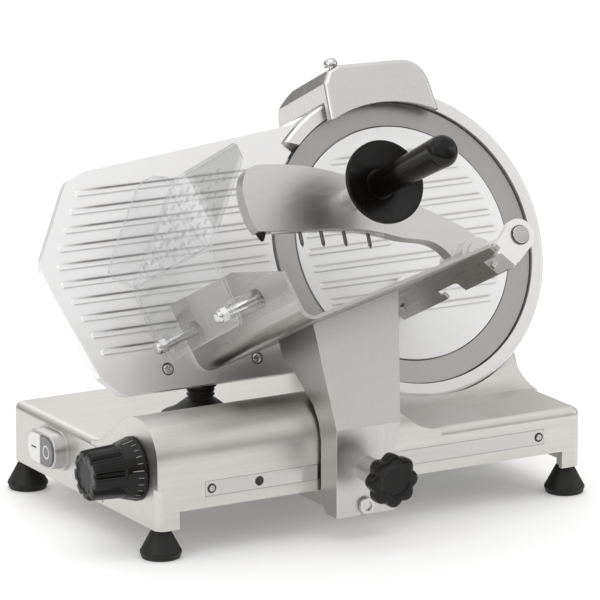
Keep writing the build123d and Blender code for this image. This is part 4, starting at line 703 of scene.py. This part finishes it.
def build_arm_knob():
    matrix = basis(FRONT, foot_point(*ARM_KNOB), ref=UP)
    # (radius, height): neck, lobed cap, shallow dished end
    profile = [(0, 67.20), (11.2, 67.20), (11.9, 67.80), (11.9, 75.00), (12.6, 76.20),
               (18.5, 76.80), (21.6, 77.60), (22.5, 78.60), (22.75, 80.00), (22.75, 86.50),
               (22.5, 88.00), (21.8, 89.10), (20.4, 89.80), (17.5, 90.00), (13.8, 90.00),
               (13.2, 89.80), (12.8, 89.20), (12.4, 89.00), (9.0, 89.10), (4.5, 89.30),
               (0, 89.40)]
    bm = bmesh.new()
    add_lathe(bm, profile, matrix, 288, lobe_radius)
    finish_mesh("arm_knob_lobed", bm, "knob", "arm_knob", sharp=46,
                hide=("arm_knob",))

    # (radius, height): stud with a collar, then a sleeve round it
    stud = [(0, 18.2), (4.4, 18.2), (5.0, 18.9), (5.0, 31.05), (8.0, 31.05), (8.0, 35.85),
            (5.0, 35.85), (5.0, 67.6), (0, 67.6)]
    sleeve = [(5.05, 42.2), (8.9, 42.2), (9.4, 42.7), (9.4, 66.6), (8.9, 67.1),
              (5.05, 67.1), (5.05, 42.2)]
    bm = bmesh.new()
    add_lathe(bm, stud, matrix, 64)
    add_lathe(bm, sleeve, matrix)
    finish_mesh("arm_knob_stud", bm, "rod", "arm_knob", sharp=30)


# ---------------------------------------------------------------- boot and feet
def build_post_boot():
    """Rubber boot round the post of the thickness plate; stretches from base to plate."""
    # (radius, height): flange, cone, three bellows, collar, then back down the inside
    outline = [
        (17.6, 0.35), (32.6, 0.35), (33.6, 0.7), (34.3, 1.5), (33.9, 2.5), (30.5, 3.9),
        (26.0, 5.9), (21.5, 8.7), (17.0, 12.2), (13.2, 15.2), (11.3, 16.2), (10.6, 16.9),
        (10.3, 17.6), (10.9, 18.3), (11.9, 18.9), (12.1, 19.6), (11.4, 20.4), (10.4, 20.9),
        (10.3, 21.7), (11.0, 22.3), (11.9, 22.8), (12.0, 23.6), (11.3, 24.3), (10.3, 24.8),
        (10.4, 25.6), (12.6, 26.3), (13.6, 27.0), (13.6, 28.4), (13.0, 29.0), (8.2, 29.0),
        (8.1, 17.0), (10.8, 14.6), (15.0, 11.0), (20.0, 7.2), (24.0, 4.6), (20.0, 1.6),
        (17.6, 0.35)]
    profile = [(a[0] + (b[0] - a[0]) * i / 3, a[1] + (b[1] - a[1]) * i / 3)
               for a, b in zip(outline, outline[1:]) for i in range(3)]
    bm = bmesh.new()
    rings = add_lathe(bm, profile, basis(UP, foot_point(POST_X, POST_Y, 77)), 128)
    bridge(bm, rings[-1], rings[0])
    boot = finish_mesh("post_boot", bm, "rubber", sharp=50,
                       hide=("boot_seal",))
    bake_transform(boot)


def build_feet():
    # (radius, height): hollow in the sole, rounded tread, groove, cone
    profile = [(0, 6.0), (5.9, 6.0), (6.1, 5.4), (6.2, 0.9), (6.6, 0.25), (15.0, 0.0),
               (15.9, 0.35), (16.4, 1.1), (16.7, 3.0), (17.0, 3.7), (17.45, 4.2),
               (17.5, 5.4), (17.3, 6.4), (16.4, 7.6), (12.4, 15.2), (8.1, 23.4),
               (7.5, 24.5), (6.9, 24.95), (0, 24.95)]
    bm = bmesh.new()
    for y in (0, FEET_DY):
        for x in (0, FEET_DX):
            add_lathe(bm, profile, basis(UP, foot_point(x, y, 0)))
    finish_mesh("cone_feet", bm, "rubber", "base", sharp=40,
                hide=("rubber_feet",))


# ---------------------------------------------------------------- screws of plate and base
def build_plate_screws():
    bm = bmesh.new()
    for x, up in PLATE_SCREWS:
        add_screw(bm, basis(KNIFE_NORMAL, knife_point(x, -3.0, up)),
                  head=(4.45, 2.35), shank=(2.4, 9))
    finish_mesh("plate_screws", bm, "screw", "gauge", sharp=40,
                hide=("gauge_screws",))

    ring = [(4.5, -1.02), (5.35, -1.02), (5.45, -0.9), (5.35, -0.86), (4.6, -0.86)]
    bm = bmesh.new()
    for x, up in PLATE_SCREWS:
        add_lathe(bm, ring, basis(KNIFE_NORMAL, knife_point(x, 0, up)), 64)
    finish_mesh("plate_screw_shadow_rings", bm, "ink_and_painted_shade", "gauge", sharp=40)


def build_base_screws():
    """Screws of the front strip and of the knife cover's back."""
    bm = bmesh.new()
    for x in STRIP_SCREWS_X:
        add_screw(bm, basis(FRONT, foot_point(x, -13.2, STRIP_Z)),
                  head=(2.5, 1.5), shank=(1.1, 1.0))
    for x, up in COVER_SCREWS:
        add_screw(bm, basis(-KNIFE_NORMAL, knife_point(x, -79.1, up)),
                  head=(4.2, 2.6), shank=(2.0, 3.0))
    finish_mesh("cover_screw_heads", bm, "screw", "base", sharp=40,
                hide=("cover_screws",))

    # Dark ring round each strip screw, and the oil hole drawn as a dark dish of painted shade
    screw_dark_ring = [(2.55, 13.0), (3.9, 13.0), (4.1, 13.2), (3.9, 13.45), (2.6, 13.45),
            (2.55, 13.0)]
    oil_hole_shade = [(0, 13.0), (3.7, 13.0), (3.9, 13.2), (3.7, 13.4), (2.4, 13.35),
                (1.8, 13.12), (0, 13.1)]
    bm = bmesh.new()
    for x in STRIP_SCREWS_X:
        add_lathe(bm, screw_dark_ring, basis(FRONT, foot_point(x, 0, STRIP_Z)), 48)
    add_lathe(bm, oil_hole_shade, basis(FRONT, foot_point(OIL_HOLE_X, 0, STRIP_Z)), 48)
    finish_mesh("strip_ports", bm, "ink_and_painted_shade", "base", sharp=40)


# ---------------------------------------------------------------- switch marks
def build_switch_marks():
    """Dash on the start button and ring on the stop button, both on their left faces."""
    start_min, start_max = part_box("start_button")
    stop_min, stop_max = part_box("stop_button")
    z = (start_min.z + start_max.z) / 2

    def on_face(low, high):
        centre = Vector((start_min.x, (low.y + high.y) / 2, z))
        return basis(LEFT, centre, ref=Vector((0, 1, 0)))

    bm = bmesh.new()
    add_prism(bm, rounded_rect(8.6, 1.25, radius=0.5, steps=5),
              on_face(start_min, start_max), bottom=-0.05, top=0.22, bevel=0.06)
    finish_mesh("switch_dash", bm, "ink_and_painted_shade", "start_button", sharp=40)
    bm = bmesh.new()
    add_lathe(bm, [(4.5, -0.05), (5.9, -0.05), (5.85, 0.2), (5.2, 0.3), (4.55, 0.2),
                   (4.5, -0.05)], on_face(stop_min, stop_max))
    finish_mesh("switch_ring", bm, "mark", "stop_button", sharp=40)


# ---------------------------------------------------------------- guard bumps
def build_guard_bumps():
    """Staggered rows of bumps moulded into the guard's upper sheet."""
    lean = math.radians(15.5)           # lower sheet, leaning left
    lower_up = Vector((-math.sin(lean), math.cos(lean)))
    lower_out = Vector((-math.cos(lean), -math.sin(lean)))
    fold_x = -220 + lower_up.x * 86.5 + lower_out.x * 33
    fold_up = -87 + lower_up.y * 86.5 + lower_out.y * 33
    fold = knife_point(fold_x, 0, fold_up)
    lean = math.radians(34)             # upper sheet, leaning right
    sheet_up = in_plane(Vector((math.sin(lean), math.cos(lean))))
    sheet_out = in_plane(Vector((-math.cos(lean), math.sin(lean))))

    pitch, row_pitch = 14.2, 13.0
    dome = [(3.3, -0.3), (3.2, 0.0), (2.9, 0.35), (2.3, 0.75), (1.4, 1.05), (0, 1.18)]
    bm = bmesh.new()
    for i in range(9):
        for j in range(6):
            forward = 34 + i * pitch + (pitch / 2 if j % 2 else 0)
            height = 16 + j * row_pitch
            if forward > 152 or (forward > 130 and height > 74):
                continue
            centre = (fold + KNIFE_NORMAL * (forward / 1000) + sheet_up * (height / 1000)
                      + sheet_out * 0.00395)
            add_lathe(bm, dome, basis(sheet_out, centre, ref=KNIFE_NORMAL), 24)
    finish_mesh("guard_bumps", bm, "clear_bump", "carriage", sharp=60)


# ---------------------------------------------------------------- pusher and carriage
def build_pusher_parts():
    """Rubber stop under the pusher arm's free end, and the strip that carries the teeth."""
    bm = bmesh.new()
    add_lathe(bm, [(0, -2.5), (4.3, -2.5), (4.7, -1.6), (4.6, 0.4), (3.2, 3.6), (1.7, 6.6),
                   (1.1, 7.3), (0, 7.6)], basis(-KNIFE_UP, knife_point(-197.5, 110.5, 4.2)), 64)
    finish_mesh("arm_stop", bm, "rubber", "pusher", sharp=50)

    # (x, up) along the underside of the arm
    underside = [(-190, 3.3), (-175, 2.2), (-162, 1.3), (-148, 0.1), (-130, -1.8),
                 (-112.7, -4.3), (-95, -8.2), (-84, -11.4)]
    outline = [(x, up + 0.3) for x, up in underside]
    outline += [(x, up - 1.2) for x, up in reversed(underside)]
    bm = bmesh.new()
    add_prism(bm, outline, basis(KNIFE_NORMAL, KNIFE), bottom=108.8, top=114.2, bevel=0.3)
    finish_mesh("teeth_strip", bm, "rod", "pusher", sharp=40)


def build_rod_end():
    """Cap on the near end of the pusher rod, and a thin dark ring of painted shade in the gap
    round it.
    """
    matrix = basis(KNIFE_NORMAL, knife_point(PUSHER_ROD[0], 0, PUSHER_ROD[1]))
    bm = bmesh.new()
    add_lathe(bm, [(0, 206.0), (7.3, 206.0), (7.5, 206.2), (7.5, 206.9), (7.2, 207.2),
                   (4.0, 207.35), (0, 207.4)], matrix)
    finish_mesh("rod_end_screw", bm, "rod_end", "carriage", sharp=35)
    # thin black ring: painted shade of the gap round the cap
    bm = bmesh.new()
    add_lathe(bm, [(7.5, 206.0), (8.25, 206.0), (8.25, 206.12), (7.5, 206.12),
                   (7.5, 206.0)], matrix)
    finish_mesh("rod_end_gap_shade", bm, "ink_and_painted_shade", "carriage", sharp=35)


def build_carriage_screws():
    """Socket screw of the carriage arm and one cross-head screw on each rod bracket."""
    matrix = basis(FRONT, foot_point(*ARM_SCREW))
    bm = bmesh.new()
    add_lathe(bm, [(0, 42.0), (6.6, 42.0), (7.25, 42.6), (7.25, 45.3), (6.8, 45.9),
                   (4.1, 45.95), (3.9, 45.6), (3.85, 43.8), (0, 43.7)], matrix)
    add_rod(bm, matrix, 3.9, 17, 42.1, segments=32, chamfer=0.4)

    # Bracket flange: down its slope, and out of its face
    down = Vector((0.685, -0.728))
    out = Vector((-down.y, down.x))
    for forward, lift in ((186, 0.0), (22, 3.03)):
        x = -36 + out.x * lift + down.x * 16
        up = -46 + out.y * lift + down.y * 16
        add_screw(bm, basis(in_plane(out), knife_point(x, forward, up), ref=KNIFE_NORMAL),
                  head=(5.1, 3.0), shank=(2.45, 8.6))
    finish_mesh("carriage_screw_heads", bm, "screw", "carriage", sharp=40,
                hide=("carriage_screws",))


# ---------------------------------------------------------------- mains plug
def build_plug():
    """Plug lying along +X: moulded body, grip ribs, ringed cable sleeve and two pins."""
    # (x, half height, half depth, corner radius)
    stations = [(222.3, 4.6, 4.6, 4.6), (224, 5.6, 5.6, 5.6), (236, 8.6, 8.0, 7.6),
                (240, 11.5, 9.2, 8.0), (246, 13.8, 10.4, 8.5), (262, 14.3, 10.8, 8.5),
                (268, 14.3, 10.8, 8.5), (269.8, 13.6, 10.2, 8.0)]
    matrix = basis(RIGHT, foot_point(0, PLUG_Y, PLUG_Z))
    bm = bmesh.new()
    previous = None
    for along, half_height, half_depth, corner in stations:
        corner = min(corner, half_height - 0.01, half_depth - 0.01)
        ring = [add_vert(bm, matrix, x, y, along)
                for x, y in rounded_rect(2 * half_height, 2 * half_depth, corner)]
        if previous:
            bridge(bm, previous, ring)
        else:
            bm.faces.new(list(reversed(ring)))
        previous = ring
    bm.faces.new(previous)
    for x in (244, 248, 252, 256, 260):
        for side in (-1, 1):
            add_prism(bm, rounded_rect(16, 1.6, radius=0.7, steps=4),
                      basis((0, side, 0), foot_point(x, PLUG_Y, PLUG_Z), ref=UP),
                      bottom=9.4, top=11.0, bevel=0.25)
    for k in range(5):                  # the sleeve sags away from the plug
        x = k * 2.6
        add_lathe(bm, [(4.0, 210 + x), (5.2, 210.2 + x), (5.3, 211.4 + x), (4.0, 211.6 + x),
                       (4.0, 210 + x)],
                  basis(RIGHT, foot_point(0, PLUG_Y + 0.3, PLUG_Z - 0.25 * (4 - k))), 32)
    finish_mesh("plug_body", bm, "grip", "base", sharp=40, hide=("mains_plug",))

    pin = [(0, 268.5), (2.35, 268.5), (2.38, 278), (2.4, 278.2), (2.4, 286.4), (1.7, 288.2),
           (0, 288.8)]
    bm = bmesh.new()
    for offset in (-9.5, 9.5):
        add_lathe(bm, pin, basis(RIGHT, foot_point(0, PLUG_Y, PLUG_Z + offset)), 32)
    finish_mesh("plug_pins", bm, "rod", "base", sharp=40)


# ---------------------------------------------------------------- studio
def aim(obj, location, target):
    obj.location = location
    direction = Vector(target) - Vector(location)
    obj.rotation_euler = direction.to_track_quat("-Z", "Y").to_euler()


def build_lights():
    # name, location, side in metres, watts
    for name, location, side, power in (
            ("key_top", (-0.3, -0.3, 2.2), 2.2, 8),
            ("key_left", (-2.4, -0.6, 1.3), 1.6, 8),
            ("fill_right", (2.4, -1.2, 1.0), 1.0, 4),
            ("rim_back", (0.5, 2.4, 1.7), 2.0, 7)):
        light = bpy.data.lights.new(name, "AREA")
        light.energy = power
        light.shape = "RECTANGLE"
        light.size = light.size_y = side
        aim(new_object(name, light), location, target=(0, 0.02, 0.17))


def build_world():
    """White to the camera; reflections see a ramp from floor to sky, dark at the horizon."""
    world = bpy.data.worlds.new("studio")
    bpy.context.scene.world = world
    shader = Shader(world, "OutputWorld")
    backdrop = shader.node("Background", {0: (1, 1, 1), 1: 1.02})
    direction = shader.node("TexCoord").outputs["Generated"]
    height = shader.node("SeparateXYZ", {0: direction}).outputs[2]
    ramp_node = shader.node("ValToRGB", {0: shader.remap(height, span=(-1, 1))})
    elements = ramp_node.color_ramp.elements
    elements[0].position = 0.0
    elements[0].color = (0.62, 0.61, 0.60, 1)
    elements[1].position = 1.0
    elements[1].color = (0.92, 0.92, 0.92, 1)
    for position, grey in ((0.44, 0.40), (0.50, 0.20), (0.55, 0.16), (0.61, 0.44),
                           (0.70, 0.80), (0.82, 0.92)):
        # warmer where darker
        elements.new(position).color = (grey, grey * 0.985, grey * (0.93 + 0.06 * grey), 1)
    room = shader.node("Background", {0: ramp_node.outputs[0], "Strength": 1.0})
    to_camera = shader.node("LightPath").outputs["Is Camera Ray"]
    shader.fill(shader.output, {
        0: shader.mix_shader(to_camera, room.outputs[0], backdrop.outputs[0])})


def build_floor():
    """Pale floor, faintly lit from within so that it nears white."""
    shader = new_material("floor_pale")
    cloud = shader.noise(shader.position(), scale=3.0, detail=4, roughness=0.6)
    shader.fill(shader.surface, {
        "Base Color": shader.mix(shader.remap(cloud), (0.90, 0.90, 0.90), (0.93, 0.93, 0.93)),
        "Roughness": 0.55, "Specular IOR Level": 0.25,
        "Emission Color": (1, 1, 1), "Emission Strength": 0.16})
    MATERIAL["floor"] = shader
    bm = bmesh.new()
    bmesh.ops.create_grid(bm, x_segments=8, y_segments=8, size=9.0)
    finish_mesh("floor", bm, "floor")


def build_camera():
    """Long lens from the front left, a little above the machine."""
    camera = bpy.data.cameras.new("camera")
    obj = new_object("camera", camera)
    aim(obj, foot_point(-1941.0, -3608.95, 1225.6), target=foot_point(189.5, 100, 173.1))
    camera.sensor_width = 36
    camera.lens = 311.3
    camera.clip_start = 0.05
    camera.clip_end = 60
    bpy.context.scene.camera = obj


# ---------------------------------------------------------------- build
dress_cad()
for build in (build_dial_grip, build_dial_marks, build_arm_knob, build_post_boot, build_feet,
              build_plate_screws, build_base_screws, build_switch_marks, build_guard_bumps,
              build_pusher_parts, build_rod_end, build_carriage_screws, build_plug,
              build_lights, build_world, build_floor, build_camera):
    build()

view = bpy.context.scene.view_settings
view.view_transform = "Standard"
view.look = "None"
view.exposure = 0.08
